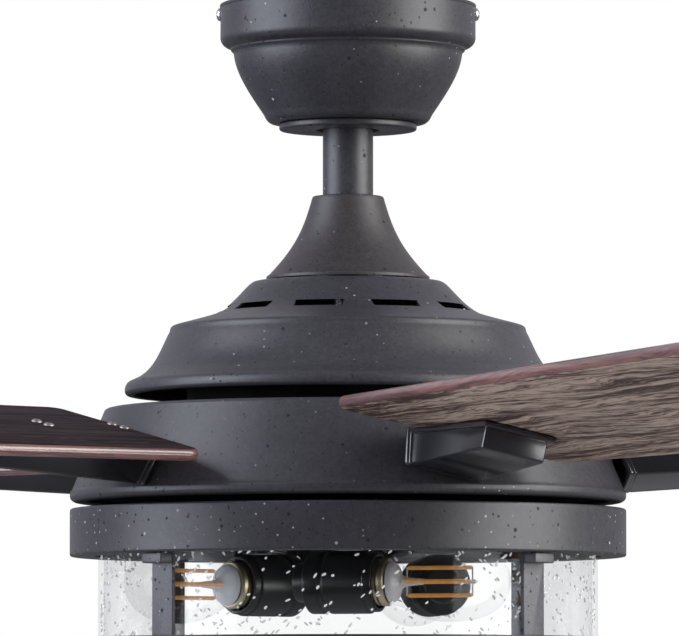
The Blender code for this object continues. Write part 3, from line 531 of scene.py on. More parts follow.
@dataclass(frozen=True)
class ClearGlass(Finish):
    """Clear glass that passes what is behind it, mirrors more towards its edges and darkens there,
    partly by absorption and partly by painted shade.
    """

    tint: Colour = (0.988, 0.991, 0.990)
    # rim: darker see-through at grazing angles, partly absorption along the longer path and partly
    # painted shade for light bent by the glass
    rim: Colour = (0.90, 0.91, 0.91)
    gloss: float = 0.16
    ripple: float = 0.0005
    index: float = 1.45
    edge_power: float = 6.0

    def dress(self, tree: ShaderTree) -> bpy.types.Material:
        """Build the glass: a tinted see-through shader, darker at the rims by absorption and
        painted shade, under a mirror, with soft ripples.
        """
        waves = tree.noise(tree.on_object, 55.0, 2.0, 0.4, 0.6)
        normal = tree.bump(waves, self.ripple, 0.5)
        fresnel = tree.node("ShaderNodeFresnel", None, {"IOR": self.index, "Normal": normal})
        facing = tree.node("ShaderNodeLayerWeight", None, {"Blend": 0.5})
        edge = Value(tree, facing.outputs["Facing"]) ** self.edge_power
        through = tree.node("ShaderNodeBsdfTransparent", None, {"Color": (*self.tint, 1.0)})
        # partly absorption, partly painted shade: the rims pass less light, standing in for the
        # dark edges that refraction gives
        absorbed_and_shaded_rim = tree.node("ShaderNodeBsdfTransparent", None, {"Color": (*self.rim, 1.0)})
        clear = tree.node("ShaderNodeMixShader", None,
                          {0: edge, 1: through.outputs[0], 2: absorbed_and_shaded_rim.outputs[0]})
        mirror = tree.principled({"Base Color": (0.95, 0.97, 0.97), "Metallic": 1.0,
                                  "Roughness": 0.05, "Normal": normal})
        share = Value(tree, fresnel.outputs[0]) * self.gloss
        mixed = tree.node("ShaderNodeMixShader", None, {0: share, 1: clear.outputs[0], 2: mirror})
        return tree.close(mixed.outputs[0])


@dataclass(frozen=True)
class SeedGlass(Finish):
    """Gas seeds in the glass wall, drawn as white dashes: a painted milky white and a painted glow
    stand in for the light that the clear seeds bend.
    """

    # painted highlight: the seeds' milky white colour stands in for light bent by clear gas seeds
    colour: Colour = (0.92, 0.93, 0.94)
    cover: float = 0.8
    glow: float = 0.22

    def dress(self, tree: ShaderTree) -> bpy.types.Material:
        """Build the seeds: uneven painted whiteness and a painted glow, standing in for bent light,
        that let some light through.
        """
        cloud = tree.noise(tree.on_object, 260.0, 2.0)
        base = tree.mix(cloud, tuple(0.8 * c for c in self.colour), self.colour)
        # painted highlight: the milky base and its emission stand in for light that the seeds bend
        painted_seed_light = tree.principled({"Base Color": base, "Roughness": 0.15, "Emission Color": base,
                                "Emission Strength": self.glow})
        clear = tree.node("ShaderNodeBsdfTransparent")
        mixed = tree.node("ShaderNodeMixShader", None,
                          {0: self.cover + (cloud - 0.5) * 0.3, 1: clear.outputs[0], 2: painted_seed_light})
        return tree.close(mixed.outputs[0])


@dataclass(frozen=True)
class GlowStrand(Finish):
    """Lamp strand under its amber coat, unlit, with a fine dotted core and a painted glow."""

    colour: Colour = (0.78, 0.36, 0.08)
    glow: float = 0.25

    def dress(self, tree: ShaderTree) -> bpy.types.Material:
        """Build the strand: amber coat with darker gaps and a faint painted glow, though the lamp
        is off.
        """
        gaps = tree.noise(tree.on_object, 420.0, 2.0)
        base = tree.mix(gaps, tuple(0.5 * c for c in self.colour), self.colour)
        # painted glow: the unlit strand's emission stands in for light caught on its amber coat
        return tree.close(tree.principled({
            "Base Color": base, "Roughness": 0.3, "Emission Color": base,
            "Emission Strength": self.glow}))


@dataclass(frozen=True)
class FloorPaint(Finish):
    """Pale matt floor that is only seen from above and throws little light back."""

    colour: Colour = (0.86, 0.86, 0.86)
    thrown: Colour = (0.46, 0.46, 0.46)
    cloud_tone: float = 0.98

    def dress(self, tree: ShaderTree) -> bpy.types.Material:
        """Build the floor's paint, clear on the underside."""
        cloud = tree.noise(tree.on_object, 1.5, 2.0)
        pale = tree.mix(cloud, tuple(self.cloud_tone * c for c in self.colour), self.colour)
        ray = tree.node("ShaderNodeLightPath")
        base = tree.mix(ray.outputs["Is Camera Ray"], self.thrown, pale)
        paint = tree.principled({"Base Color": base, "Roughness": 0.8})
        side = tree.node("ShaderNodeNewGeometry")
        clear = tree.node("ShaderNodeBsdfTransparent")
        mixed = tree.node("ShaderNodeMixShader", None,
                          {0: side.outputs["Backfacing"], 1: paint, 2: clear.outputs[0]})
        return tree.close(mixed.outputs[0])


@dataclass(frozen=True)
class Palette:
    """Every finish of the fan."""

    charcoal: PowderCoat = PowderCoat("charcoal_coat")
    flecked: PowderCoat = PowderCoat("flecked_coat", pale_share=0.42)
    strap: PowderCoat = PowderCoat("strap_coat", (0.085, 0.083, 0.095), pale_share=0.3)
    umber: PowderCoat = PowderCoat("umber_coat", (0.040, 0.035, 0.037), 0.48)
    gloss: GlossPaint = GlossPaint("gloss_paint")
    # painted shade: a near-black, low-gloss coat on the hidden motor parts, so the gap between the
    # housings reads as shade
    painted_shade_black: PowderCoat = PowderCoat("motor_painted_shade", (0.006, 0.006, 0.007), 0.7,
                                    pale_share=0.0, dark_share=0.0, relief=0.0001,
                                    specular=0.15)
    zinc: PlatedMetal = PlatedMetal("zinc_plating", (0.6, 0.61, 0.64), 0.36)
    screw: PlatedMetal = PlatedMetal("bright_plating", (0.88, 0.88, 0.89), 0.2, (1.0, 1.0, 1.0))
    brass: PlatedMetal = PlatedMetal("brushed_brass", (0.70, 0.60, 0.40), 0.42)
    dull: PlatedMetal = PlatedMetal("dull_plating", (0.50, 0.46, 0.45), 0.46)
    steel: PlatedMetal = PlatedMetal("turned_steel", (0.32, 0.33, 0.35), 0.42)
    copper: WoundCopper = WoundCopper("wound_copper")
    ferrite: MouldedPlastic = MouldedPlastic("pressed_ferrite", (0.05, 0.05, 0.055), 0.7, 1400.0)
    plastic: MouldedPlastic = MouldedPlastic("black_phenolic")
    milky: MouldedPlastic = MouldedPlastic("milky_glass", (0.74, 0.75, 0.77), 0.25, 500.0)
    grey_plastic: MouldedPlastic = MouldedPlastic("grey_plastic", (0.1, 0.1, 0.11), 0.55, 700.0)
    weathered: GrainedBoard = GrainedBoard("weathered_face")
    stained: GrainedBoard = GrainedBoard(
        "stained_face", pale=(0.044, 0.029, 0.031), middle=(0.024, 0.015, 0.017),
        dark=(0.010, 0.007, 0.008), pore=(0.006, 0.004, 0.004), roughness=0.75,
        specular=0.05, relief=0.0002)
    sealed: GrainedBoard = GrainedBoard(
        "sealed_edge", pale=(0.25, 0.105, 0.090), middle=(0.175, 0.068, 0.060),
        dark=(0.105, 0.040, 0.037), pore=(0.06, 0.025, 0.024), roughness=0.42,
        specular=0.3, lacquer=0.75, relief=0.0001)
    drum: ClearGlass = ClearGlass("drum_glass")
    envelope: ClearGlass = ClearGlass("envelope_glass", tint=(0.997, 0.998, 0.999),
                                      rim=(0.95, 0.955, 0.96), gloss=0.13, ripple=0.0001)
    seed: SeedGlass = SeedGlass("seed_glass")
    strand: GlowStrand = GlowStrand("amber_strand")
    floor: FloorPaint = FloorPaint("floor_paint")


# ------------------------------------------------------------------ outlines
def heading(azimuth: float) -> Vector:
    """Return the level unit vector at an azimuth in degrees."""
    return Vector((sin(radians(azimuth)), -cos(radians(azimuth)), 0.0))


def turned_to(azimuth: float) -> Matrix:
    """Return the rotation that takes +X to an azimuth."""
    return Matrix.Rotation(radians(azimuth - 90.0), 4, "Z")


def flow(start: Point, pull_a: Point, pull_b: Point, end: Point, steps: int) -> list[Corner]:
    """Return corners along a cubic curve, both ends included.

    Args:
        start: First point.
        pull_a: Point that the curve leaves towards.
        pull_b: Point that the curve arrives from.
        end: Last point.
        steps: Number of runs.
    """
    path = []
    for i in range(steps + 1):
        t = i / steps
        weights = ((1 - t) ** 3, 3 * t * (1 - t) ** 2, 3 * t * t * (1 - t), t ** 3)
        x, y = (sum(w * p[k] for w, p in zip(weights, (start, pull_a, pull_b, end)))
                for k in (0, 1))
        path.append((x, y, 0.0))
    return path


def arc(centre: Point, radius: float, start: float, end: float, steps: int) -> list[Corner]:
    """Return corners on an arc, angles in degrees, both ends included."""
    angles = [radians(start + (end - start) * i / steps) for i in range(steps + 1)]
    return [(centre[0] + radius * cos(a), centre[1] + radius * sin(a), 0.0) for a in angles]


def rounded(corners: Sequence[Corner], steps: int = 4) -> list[Point]:
    """Return a path through corners, each cut back by its own reach and rounded."""
    path: list[Point] = []
    last = len(corners) - 1
    for i, (x, y, reach) in enumerate(corners):
        if reach <= 0.0 or i in (0, last):
            path.append((x, y))
            continue
        here = Vector((x, y))
        back = Vector(corners[i - 1][:2]) - here
        onward = Vector(corners[i + 1][:2]) - here
        near = here + back.normalized() * min(reach, 0.48 * back.length)
        far = here + onward.normalized() * min(reach, 0.48 * onward.length)
        for k in range(steps + 1):
            t = k / steps
            spot = near * (1 - t) ** 2 + here * (2 * t * (1 - t)) + far * t ** 2
            path.append((spot.x, spot.y))
    return path


def walled(corners: Sequence[Corner], wall: float) -> list[Point]:
    """Return the closed section of a sheet whose outer face runs through corners.

    Args:
        corners: Outer face, with the wall on its right-hand side.
        wall: Thickness of the sheet.
    """
    spots = [Vector(corner[:2]) for corner in corners]
    runs = [(b - a).normalized() for a, b in zip(spots, spots[1:])]
    inner = []
    for i, (spot, corner) in enumerate(zip(spots, corners)):
        before, after = runs[max(i - 1, 0)], runs[min(i, len(runs) - 1)]
        normal = Vector((before.y + after.y, -before.x - after.x)).normalized()
        reach = wall / max(normal.dot(Vector((after.y, -after.x))), 0.5)
        inner.append((*(spot + normal * reach), max(corner[2] - wall, 0.0)))
    return rounded(corners) + rounded(inner)[::-1]


# ------------------------------------------------------------------ meshes
def close_mesh(piece: bpy.types.Object, angle: float = 32.0) -> bpy.types.Object:
    """Merge a piece's doubles, turn its faces out and shade it smooth."""
    work = bmesh.new()
    work.from_mesh(piece.data)
    bmesh.ops.remove_doubles(work, verts=work.verts, dist=MERGE_DISTANCE)
    bmesh.ops.dissolve_degenerate(work, edges=work.edges, dist=COLLAPSE_DISTANCE)
    bmesh.ops.recalc_face_normals(work, faces=work.faces)
    work.to_mesh(piece.data)
    work.free()
    piece.data.shade_smooth()
    piece.data.set_sharp_from_angle(angle=radians(angle))
    return piece


def solid(name: str, work: bmesh.types.BMesh, finish: Finish,
          place: Matrix | None = None) -> bpy.types.Object:
    """Turn a bmesh in mm into a finished object in metres at the origin.

    Args:
        name: The piece's name.
        work: The bmesh, which is used up.
        finish: The piece's finish.
        place: Where the shape goes, in mm.

    Returns:
        The new object.
    """
    if place is not None:
        bmesh.ops.transform(work, matrix=place, verts=work.verts)
    bmesh.ops.scale(work, vec=(MM, MM, MM), verts=work.verts)
    mesh = bpy.data.meshes.new(name)
    work.to_mesh(mesh)
    work.free()
    mesh.materials.append(finish.material())
    piece = bpy.data.objects.new(name, mesh)
    bpy.context.scene.collection.objects.link(piece)
    return close_mesh(piece)


def spun(section: Sequence[Point], segments: int) -> bmesh.types.BMesh:
    """Return a bmesh of a section of (radius, height) turned about Z, closed at its poles."""
    work = bmesh.new()
    rings = []
    for radius, height in section:
        if radius < NEARLY_ZERO:
            rings.append([work.verts.new((0.0, 0.0, height))] * segments)
            continue
        angles = [2 * pi * k / segments for k in range(segments)]
        rings.append([work.verts.new((radius * cos(a), radius * sin(a), height)) for a in angles])
    for here, there in zip(rings, rings[1:] + rings[:1]):
        for k in range(segments):
            following = (k + 1) % segments
            corners = []
            for vert in (here[k], there[k], there[following], here[following]):
                if vert not in corners:
                    corners.append(vert)
            if len(corners) > 2:
                work.faces.new(corners)
    return work


def spun_along(section: Sequence[Point], segments: int) -> bmesh.types.BMesh:
    """Return a bmesh of a section of (radius, distance) turned about X."""
    work = spun(section, segments)
    bmesh.ops.transform(work, matrix=Matrix.Rotation(pi / 2, 4, "Y"), verts=work.verts)
    return work


def block(size: Sequence[float], centre: Sequence[float] = (0.0, 0.0, 0.0), bevel: float = 0.0,
          steps: int = 3) -> bmesh.types.BMesh:
    """Return a bmesh of a box with rounded edges.

    Args:
        size: Its size along X, Y and Z.
        centre: Its middle.
        bevel: Width of the rounding.
        steps: Segments of the rounding.
    """
    work = bmesh.new()
    bmesh.ops.create_cube(work, size=1.0)
    bmesh.ops.scale(work, vec=size, verts=work.verts)
    if bevel > 0.0:
        bmesh.ops.bevel(work, geom=work.edges[:], offset=bevel, segments=steps, profile=0.5,
                        affect="EDGES")
    bmesh.ops.translate(work, vec=centre, verts=work.verts)
    return work


def plate(outline: Sequence[Point], bottom: float, top: float, bevel: float = 0.0,
          steps: int = 3) -> bmesh.types.BMesh:
    """Return a bmesh of an outline extruded between two heights, its rims rounded."""
    work = bmesh.new()
    base = work.faces.new([work.verts.new((x, y, bottom)) for x, y in outline])
    grown = bmesh.ops.extrude_face_region(work, geom=[base])
    raised = [item for item in grown["geom"] if isinstance(item, bmesh.types.BMVert)]
    bmesh.ops.translate(work, vec=(0.0, 0.0, top - bottom), verts=raised)
    bmesh.ops.recalc_face_normals(work, faces=work.faces)
    if bevel > 0.0:
        rims = [edge for edge in work.edges
                if abs(edge.verts[0].co.z - edge.verts[1].co.z) < NEARLY_ZERO]
        bmesh.ops.bevel(work, geom=rims, offset=bevel, segments=steps, profile=0.5,
                        affect="EDGES")
    return work


def fused(base: bmesh.types.BMesh, others: Iterable[bmesh.types.BMesh],
          operation: str) -> bmesh.types.BMesh:
    """Join or cut a bmesh with others by exact Booleans.

    Args:
        base: The shape that stays.
        others: The shapes that are added or taken away.
        operation: "UNION" or "DIFFERENCE".

    Returns:
        A new bmesh; the ones passed in are used up.
    """
    def as_object(work: bmesh.types.BMesh) -> bpy.types.Object:
        """Link a temporary object that holds a bmesh."""
        mesh = bpy.data.meshes.new("work")
        bmesh.ops.recalc_face_normals(work, faces=work.faces)
        work.to_mesh(mesh)
        work.free()
        made = bpy.data.objects.new("work", mesh)
        bpy.context.scene.collection.objects.link(made)
        return made

    body = as_object(base)
    tools = [as_object(other) for other in others]
    for tool in tools:
        step = body.modifiers.new("step", "BOOLEAN")
        step.operation = operation
        step.object = tool
    result = bmesh.new()
    result.from_object(body, bpy.context.evaluated_depsgraph_get())
    for made in [body, *tools]:
        mesh = made.data
        bpy.data.objects.remove(made, do_unlink=True)
        bpy.data.meshes.remove(mesh)
    return result


def register(piece: bpy.types.Object, body: Body, slot: Slot, *nodes: str) -> None:
    """Parent a finished piece to its body and hide the frame's nodes that it stands for.

    Args:
        piece: The piece.
        body: The body that it rides on.
        slot: The material slot that its finish comes from; not used.
        nodes: The frame's nodes that it stands for.
    """
    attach(piece, body.value)
    if nodes:
        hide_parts(*nodes)
    LOG.info("built %s on %s, %d faces", piece.name, body.value, len(piece.data.polygons))


# ------------------------------------------------------------------ geometry trees
@dataclass
class Lathe:
    """Sweeps a closed section round the fan's axis by Geometry Nodes."""

    rail: float = 60.0
    segments: int = 192
    tree: GeometryTree = field(init=False)

    def __post_init__(self) -> None:
        """Build the tree: a circle as rail and the section as profile."""
        tree = GeometryTree("turned_sheet")
        circle = tree.node("GeometryNodeCurvePrimitiveCircle", None, {
            "Resolution": tree.given("Segments", InputKind.COUNT),
            "Radius": tree.given("Rail", InputKind.NUMBER)})
        profile = tree.node("GeometryNodeMeshToCurve", None, {0: tree.entry.outputs["Geometry"]})
        swept = tree.node("GeometryNodeCurveToMesh", None, {
            "Curve": circle.outputs[0], "Profile Curve": profile.outputs[0]})
        tree.close(swept.outputs[0])
        self.tree = tree

    def turn(self, name: str, section: Sequence[Point], finish: Finish) -> bpy.types.Object:
        """Return a piece turned from a section of (radius, height) that has no pole."""
        spots = [((radius - self.rail) * MM, -height * MM, 0.0) for radius, height in section]
        ties = [(i, (i + 1) % len(spots)) for i in range(len(spots))]
        carrier = bpy.data.meshes.new(name)
        carrier.from_pydata(spots, ties, [])
        piece = self.tree.build(name, carrier, {
            "Segments": self.segments, "Rail": self.rail * MM, "Finish": finish.material()})
        return close_mesh(piece)


@dataclass
class SlotCutter:
    """Cuts a ring of upright slots through a turned sheet by Geometry Nodes."""

    tree: GeometryTree = field(init=False)

    def __post_init__(self) -> None:
        """Build the tree: boxes round a circle, taken out of the sheet."""
        tree = GeometryTree("ring_of_slots")
        count = tree.given("Count", InputKind.COUNT)
        circle = tree.node("GeometryNodeMeshCircle", None, {
            "Vertices": count, "Radius": tree.given("Ring Radius", InputKind.NUMBER)})
        box = tree.node("GeometryNodeMeshCube", None,
                        {"Size": tree.given("Slot Size", InputKind.VECTOR)})
        step = tree.node("ShaderNodeMath", {"operation": "DIVIDE"}, {0: 2 * pi, 1: count})
        number = tree.node("GeometryNodeInputIndex")
        angle = tree.node("ShaderNodeMath", {"operation": "MULTIPLY"},
                          {0: step.outputs[0], 1: number.outputs[0]})
        turn = tree.node("ShaderNodeCombineXYZ", None, {2: angle.outputs[0]})
        spin = tree.node("FunctionNodeEulerToRotation", None, {0: turn.outputs[0]})
        boxes = tree.node("GeometryNodeInstanceOnPoints", None, {
            "Points": circle.outputs[0], "Instance": box.outputs[0],
            "Rotation": spin.outputs[0]})
        moved = tree.node("GeometryNodeTransform", None, {
            "Geometry": boxes.outputs[0],
            "Translation": tree.given("Offset", InputKind.VECTOR),
            "Rotation": tree.given("Turn", InputKind.VECTOR)})
        real = tree.node("GeometryNodeRealizeInstances", None, {"Geometry": moved.outputs[0]})
        cut = tree.node("GeometryNodeMeshBoolean", {"operation": "DIFFERENCE", "solver": "EXACT"},
                        {"Mesh 1": tree.entry.outputs["Geometry"], "Mesh 2": real.outputs[0]})
        tree.close(cut.outputs["Mesh"])
        self.tree = tree

    def cut(self, piece: bpy.types.Object, count: int, start: float, radius: float,
            height: float, size: Sequence[float]) -> bpy.types.Object:
        """Return the piece with slots cut through it.

        Args:
            piece: The sheet, which is used up.
            count: Number of slots.
            start: Azimuth of one slot, in degrees.
            radius: Radius of the slots' middles, in mm.
            height: Height of the slots' middles, in mm.
            size: Depth, width and height of a slot, in mm.
        """
        name, mesh = piece.name, piece.data
        finish = mesh.materials[0]
        bpy.data.objects.remove(piece, do_unlink=True)
        result = self.tree.build(name, mesh, {
            "Count": count, "Ring Radius": radius * MM,
            "Slot Size": tuple(edge * MM for edge in size),
            "Offset": (0.0, 0.0, height * MM), "Turn": (0.0, 0.0, radians(start - 90.0)),
            "Finish": finish})
        return close_mesh(result)


@dataclass
class ScrewSetter:
    """Sets domed cross-recess screw heads on points by Geometry Nodes."""

    recess_length: float = 1.15
    recess_width: float = 0.26
    tree: GeometryTree = field(init=False)

    def __post_init__(self) -> None:
        """Build the tree: a flattened dome with a cross recess on every point."""
        tree = GeometryTree("screw_heads")
        radius = tree.given("Head Radius", InputKind.NUMBER)
        height = tree.given("Head Height", InputKind.NUMBER)
        ball = tree.node("GeometryNodeMeshUVSphere", None,
                         {"Segments": 28, "Rings": 14, "Radius": 1.0})
        squash = tree.node("ShaderNodeCombineXYZ", None, {0: radius, 1: radius, 2: height})
        dome = tree.node("GeometryNodeTransform", None,
                         {"Geometry": ball.outputs[0], "Scale": squash.outputs[0]})
        long, thin = (tree.node("ShaderNodeMath", {"operation": "MULTIPLY"},
                                {0: radius, 1: share})
                      for share in (self.recess_length, self.recess_width))
        lift = tree.node("ShaderNodeCombineXYZ", None, {2: height})
        recess = []
        for first, second in ((long, thin), (thin, long)):
            size = tree.node("ShaderNodeCombineXYZ", None,
                             {0: first.outputs[0], 1: second.outputs[0], 2: height})
            bar = tree.node("GeometryNodeMeshCube", None, {"Size": size.outputs[0]})
            raised = tree.node("GeometryNodeTransform", None,
                               {"Geometry": bar.outputs[0], "Translation": lift.outputs[0]})
            recess.append(raised.outputs[0])
        head = dome.outputs[0]
        for bar_socket in recess:
            cut = tree.node("GeometryNodeMeshBoolean",
                            {"operation": "DIFFERENCE", "solver": "EXACT"},
                            {"Mesh 1": head, "Mesh 2": bar_socket})
            head = cut.outputs["Mesh"]
        aim = tree.node("GeometryNodeInputNamedAttribute", {"data_type": "FLOAT_VECTOR"},
                        {"Name": "aim"})
        turn = tree.node("FunctionNodeAlignRotationToVector", {"axis": "Z"},
                         {"Vector": aim.outputs[0]})
        heads = tree.node("GeometryNodeInstanceOnPoints", None, {
            "Points": tree.entry.outputs["Geometry"], "Instance": head,
            "Rotation": turn.outputs[0]})
        tree.close(heads.outputs[0])
        self.tree = tree

    def place(self, name: str, spots: Sequence[tuple[Vector, Vector]], radius: float,
              height: float, finish: Finish) -> bpy.types.Object:
        """Return one piece with a head on every spot.

        Args:
            name: The piece's name.
            spots: Middle of each head's underside, in mm, and the way that it faces.
            radius: Radius of a head, in mm.
            height: Height of a head, in mm.
            finish: The heads' finish.
        """
        carrier = bpy.data.meshes.new(name)
        carrier.from_pydata([tuple(spot * MM) for spot, _ in spots], [], [])
        aims = carrier.attributes.new("aim", "FLOAT_VECTOR", "POINT")
        for entry, (_, aim) in zip(aims.data, spots):
            entry.vector = aim
        piece = self.tree.build(name, carrier, {
            "Head Radius": radius * MM, "Head Height": height * MM,
            "Finish": finish.material()})
        return close_mesh(piece)


@dataclass
class SeedScatter:
    """Strews small stretched seeds over a guide surface by Geometry Nodes."""

    row_radius: float = 0.135
    rows_per_metre: float = 95.0
    runs_per_metre: float = 26.0
    gap_share: float = 0.52
    tree: GeometryTree = field(init=False)

    def __post_init__(self) -> None:
        """Build the tree: slanting lens shapes in slanting rows on the guide."""
        tree = GeometryTree("glass_seeds")
        chance = tree.given("Chance", InputKind.COUNT)
        points = tree.node("GeometryNodeDistributePointsOnFaces", {"distribute_method": "RANDOM"},
                           {"Mesh": tree.entry.outputs["Geometry"],
                            "Density": tree.given("Density", InputKind.NUMBER), "Seed": chance})
        marked = tree.node("GeometryNodeStoreNamedAttribute",
                           {"data_type": "QUATERNION", "domain": "POINT"},
                           {"Geometry": points.outputs["Points"], "Name": "facing",
                            "Value": points.outputs["Rotation"]})
        kept = tree.node("GeometryNodeDeleteGeometry", None,
                         {"Geometry": marked.outputs[0], "Selection": self._gaps(tree)})
        ball = tree.node("GeometryNodeMeshIcoSphere", None,
                         {"Radius": tree.given("Largest", InputKind.NUMBER), "Subdivisions": 2})
        small = tree.node("FunctionNodeRandomValue", {"data_type": "FLOAT_VECTOR"},
                          {0: (0.4, 0.24, 0.3), 1: (1.0, 0.44, 0.4), "Seed": chance})
        slant = tree.node("FunctionNodeRandomValue", {"data_type": "FLOAT_VECTOR"},
                          {0: (0.0, 0.0, 0.35), 1: (0.0, 0.0, 1.1), "Seed": chance})
        tilt = tree.node("FunctionNodeEulerToRotation", None, {0: slant.outputs[0]})
        stored = tree.node("GeometryNodeInputNamedAttribute", {"data_type": "QUATERNION"},
                           {"Name": "facing"})
        facing = tree.node("FunctionNodeRotateRotation", {"rotation_space": "LOCAL"},
                           {0: stored.outputs[0], 1: tilt.outputs[0]})
        seeds = tree.node("GeometryNodeInstanceOnPoints", None, {
            "Points": kept.outputs[0], "Instance": ball.outputs[0],
            "Rotation": facing.outputs[0], "Scale": small.outputs[0]})
        tree.close(seeds.outputs[0])
        self.tree = tree

    def _gaps(self, tree: GeometryTree) -> bpy.types.NodeSocket:
        """Return a selection of the points that lie between the slanting rows."""
        place = tree.node("GeometryNodeInputPosition")
        split = tree.node("ShaderNodeSeparateXYZ", None, {0: place.outputs[0]})
        turn = tree.node("ShaderNodeMath", {"operation": "ARCTAN2"},
                         {0: split.outputs[1], 1: split.outputs[0]})
        arc_place = Value(tree, turn.outputs[0]) * self.row_radius
        height = Value(tree, split.outputs[2])
        across = (arc_place - height) * self.rows_per_metre
        along = (arc_place + height) * self.runs_per_metre
        spot = tree.node("ShaderNodeCombineXYZ", None, {0: across, 1: along})
        wave = tree.node("ShaderNodeTexNoise", None,
                         {"Vector": spot.outputs[0], "Scale": 1.0, "Detail": 1.0})
        return (Value(tree, wave.outputs[0]) < self.gap_share).socket

    def strew(self, name: str, guide: bpy.types.Mesh, density: float, largest: float,
              chance: int, finish: Finish) -> bpy.types.Object:
        """Return the seeds on a guide mesh.

        Args:
            name: The piece's name.
            guide: Surface that the seeds lie in; it is used up.
            density: Seeds in a square metre before the gaps between rows.
            largest: Half length of the longest seed, in mm.
            chance: Seed of the random places.
            finish: The seeds' finish.
        """
        piece = self.tree.build(name, guide, {
            "Chance": chance, "Density": density, "Largest": largest * MM,
            "Finish": finish.material()})
        return close_mesh(piece, 180.0)


@dataclass
class Workshop:
    """The finishes and the geometry trees that every sub-assembly uses."""

    palette: Palette = field(default_factory=Palette)
    lathe: Lathe = field(default_factory=Lathe)
    cutter: SlotCutter = field(default_factory=SlotCutter)
    screws: ScrewSetter = field(default_factory=ScrewSetter)
    seeds: SeedScatter = field(default_factory=SeedScatter)


# ------------------------------------------------------------------ ceiling mount and rod
@dataclass
class CeilingMount:
    """Canopy under the ceiling, with its trim ring and two side screws."""

    radius: float = 70.0
    band: float = 18.6
    depth: float = 65.6
    hole: float = 30.0
    sheet: float = 1.2
    trim_radius: float = 37.7
    trim_bore: float = 17.2
    trim_thick: float = 3.6
    screw_depth: float = 5.5
    head_radius: float = 3.7
    head_height: float = 2.2

    def canopy_corners(self) -> list[Corner]:
        """Return the canopy's outer face from the ceiling to its hole."""
        return ([(self.radius - 1.4, -0.4, 0.0), (self.radius + 0.3, -0.4, 0.5),
                 (self.radius + 0.3, -1.8, 0.4), (self.radius - 0.1, -2.3, 0.4),
                 (self.radius, -self.band, 0.0)]
                + flow((self.radius, -self.band - 0.4), (69.7, -21.4), (68.3, -23.0),
                       (65.6, -23.9), 7)
                + [(64.4, -24.5, 0.5), (64.2, -25.6, 0.5), (63.4, -26.2, 0.5)]
                + flow((62.7, -27.2), (61.6, -38.0), (54.6, -48.2), (46.4, -60.4), 18)
                + flow((45.9, -61.3), (45.0, -63.4), (43.6, -65.4), (41.2, -self.depth), 6)
                + [(self.hole, -self.depth, 0.0)])

    def build(self, shop: Workshop) -> None:
        """Build the canopy, the trim ring and the screws."""
        finish = shop.palette.charcoal
        canopy = shop.lathe.turn("canopy_shell", walled(self.canopy_corners(), self.sheet), finish)
        register(canopy, Body.CEILING_MOUNT, Slot.BLACK_COAT, "canopy")
        top = -self.depth - 0.3
        bottom = top - self.trim_thick
        section = rounded([(self.trim_bore, top, 0.0), (self.trim_bore, bottom, 0.8),
                           (self.trim_radius, bottom, 1.4), (self.trim_radius, top, 0.8),
                           (self.trim_bore + 1.0, top, 0.0)])
        register(shop.lathe.turn("canopy_ring", section, finish), Body.CEILING_MOUNT,
                 Slot.BLACK_COAT, "canopy_trim_ring")
        spots = [(heading(side) * (self.radius + 0.1) + Vector((0, 0, -self.screw_depth)),
                  heading(side)) for side in (-90.0, 90.0)]
        register(shop.screws.place("canopy_screw_heads", spots, self.head_radius,
                                   self.head_height, shop.palette.screw),
                 Body.CEILING_MOUNT, Slot.SCREW, "canopy_screw_left", "canopy_screw_right")


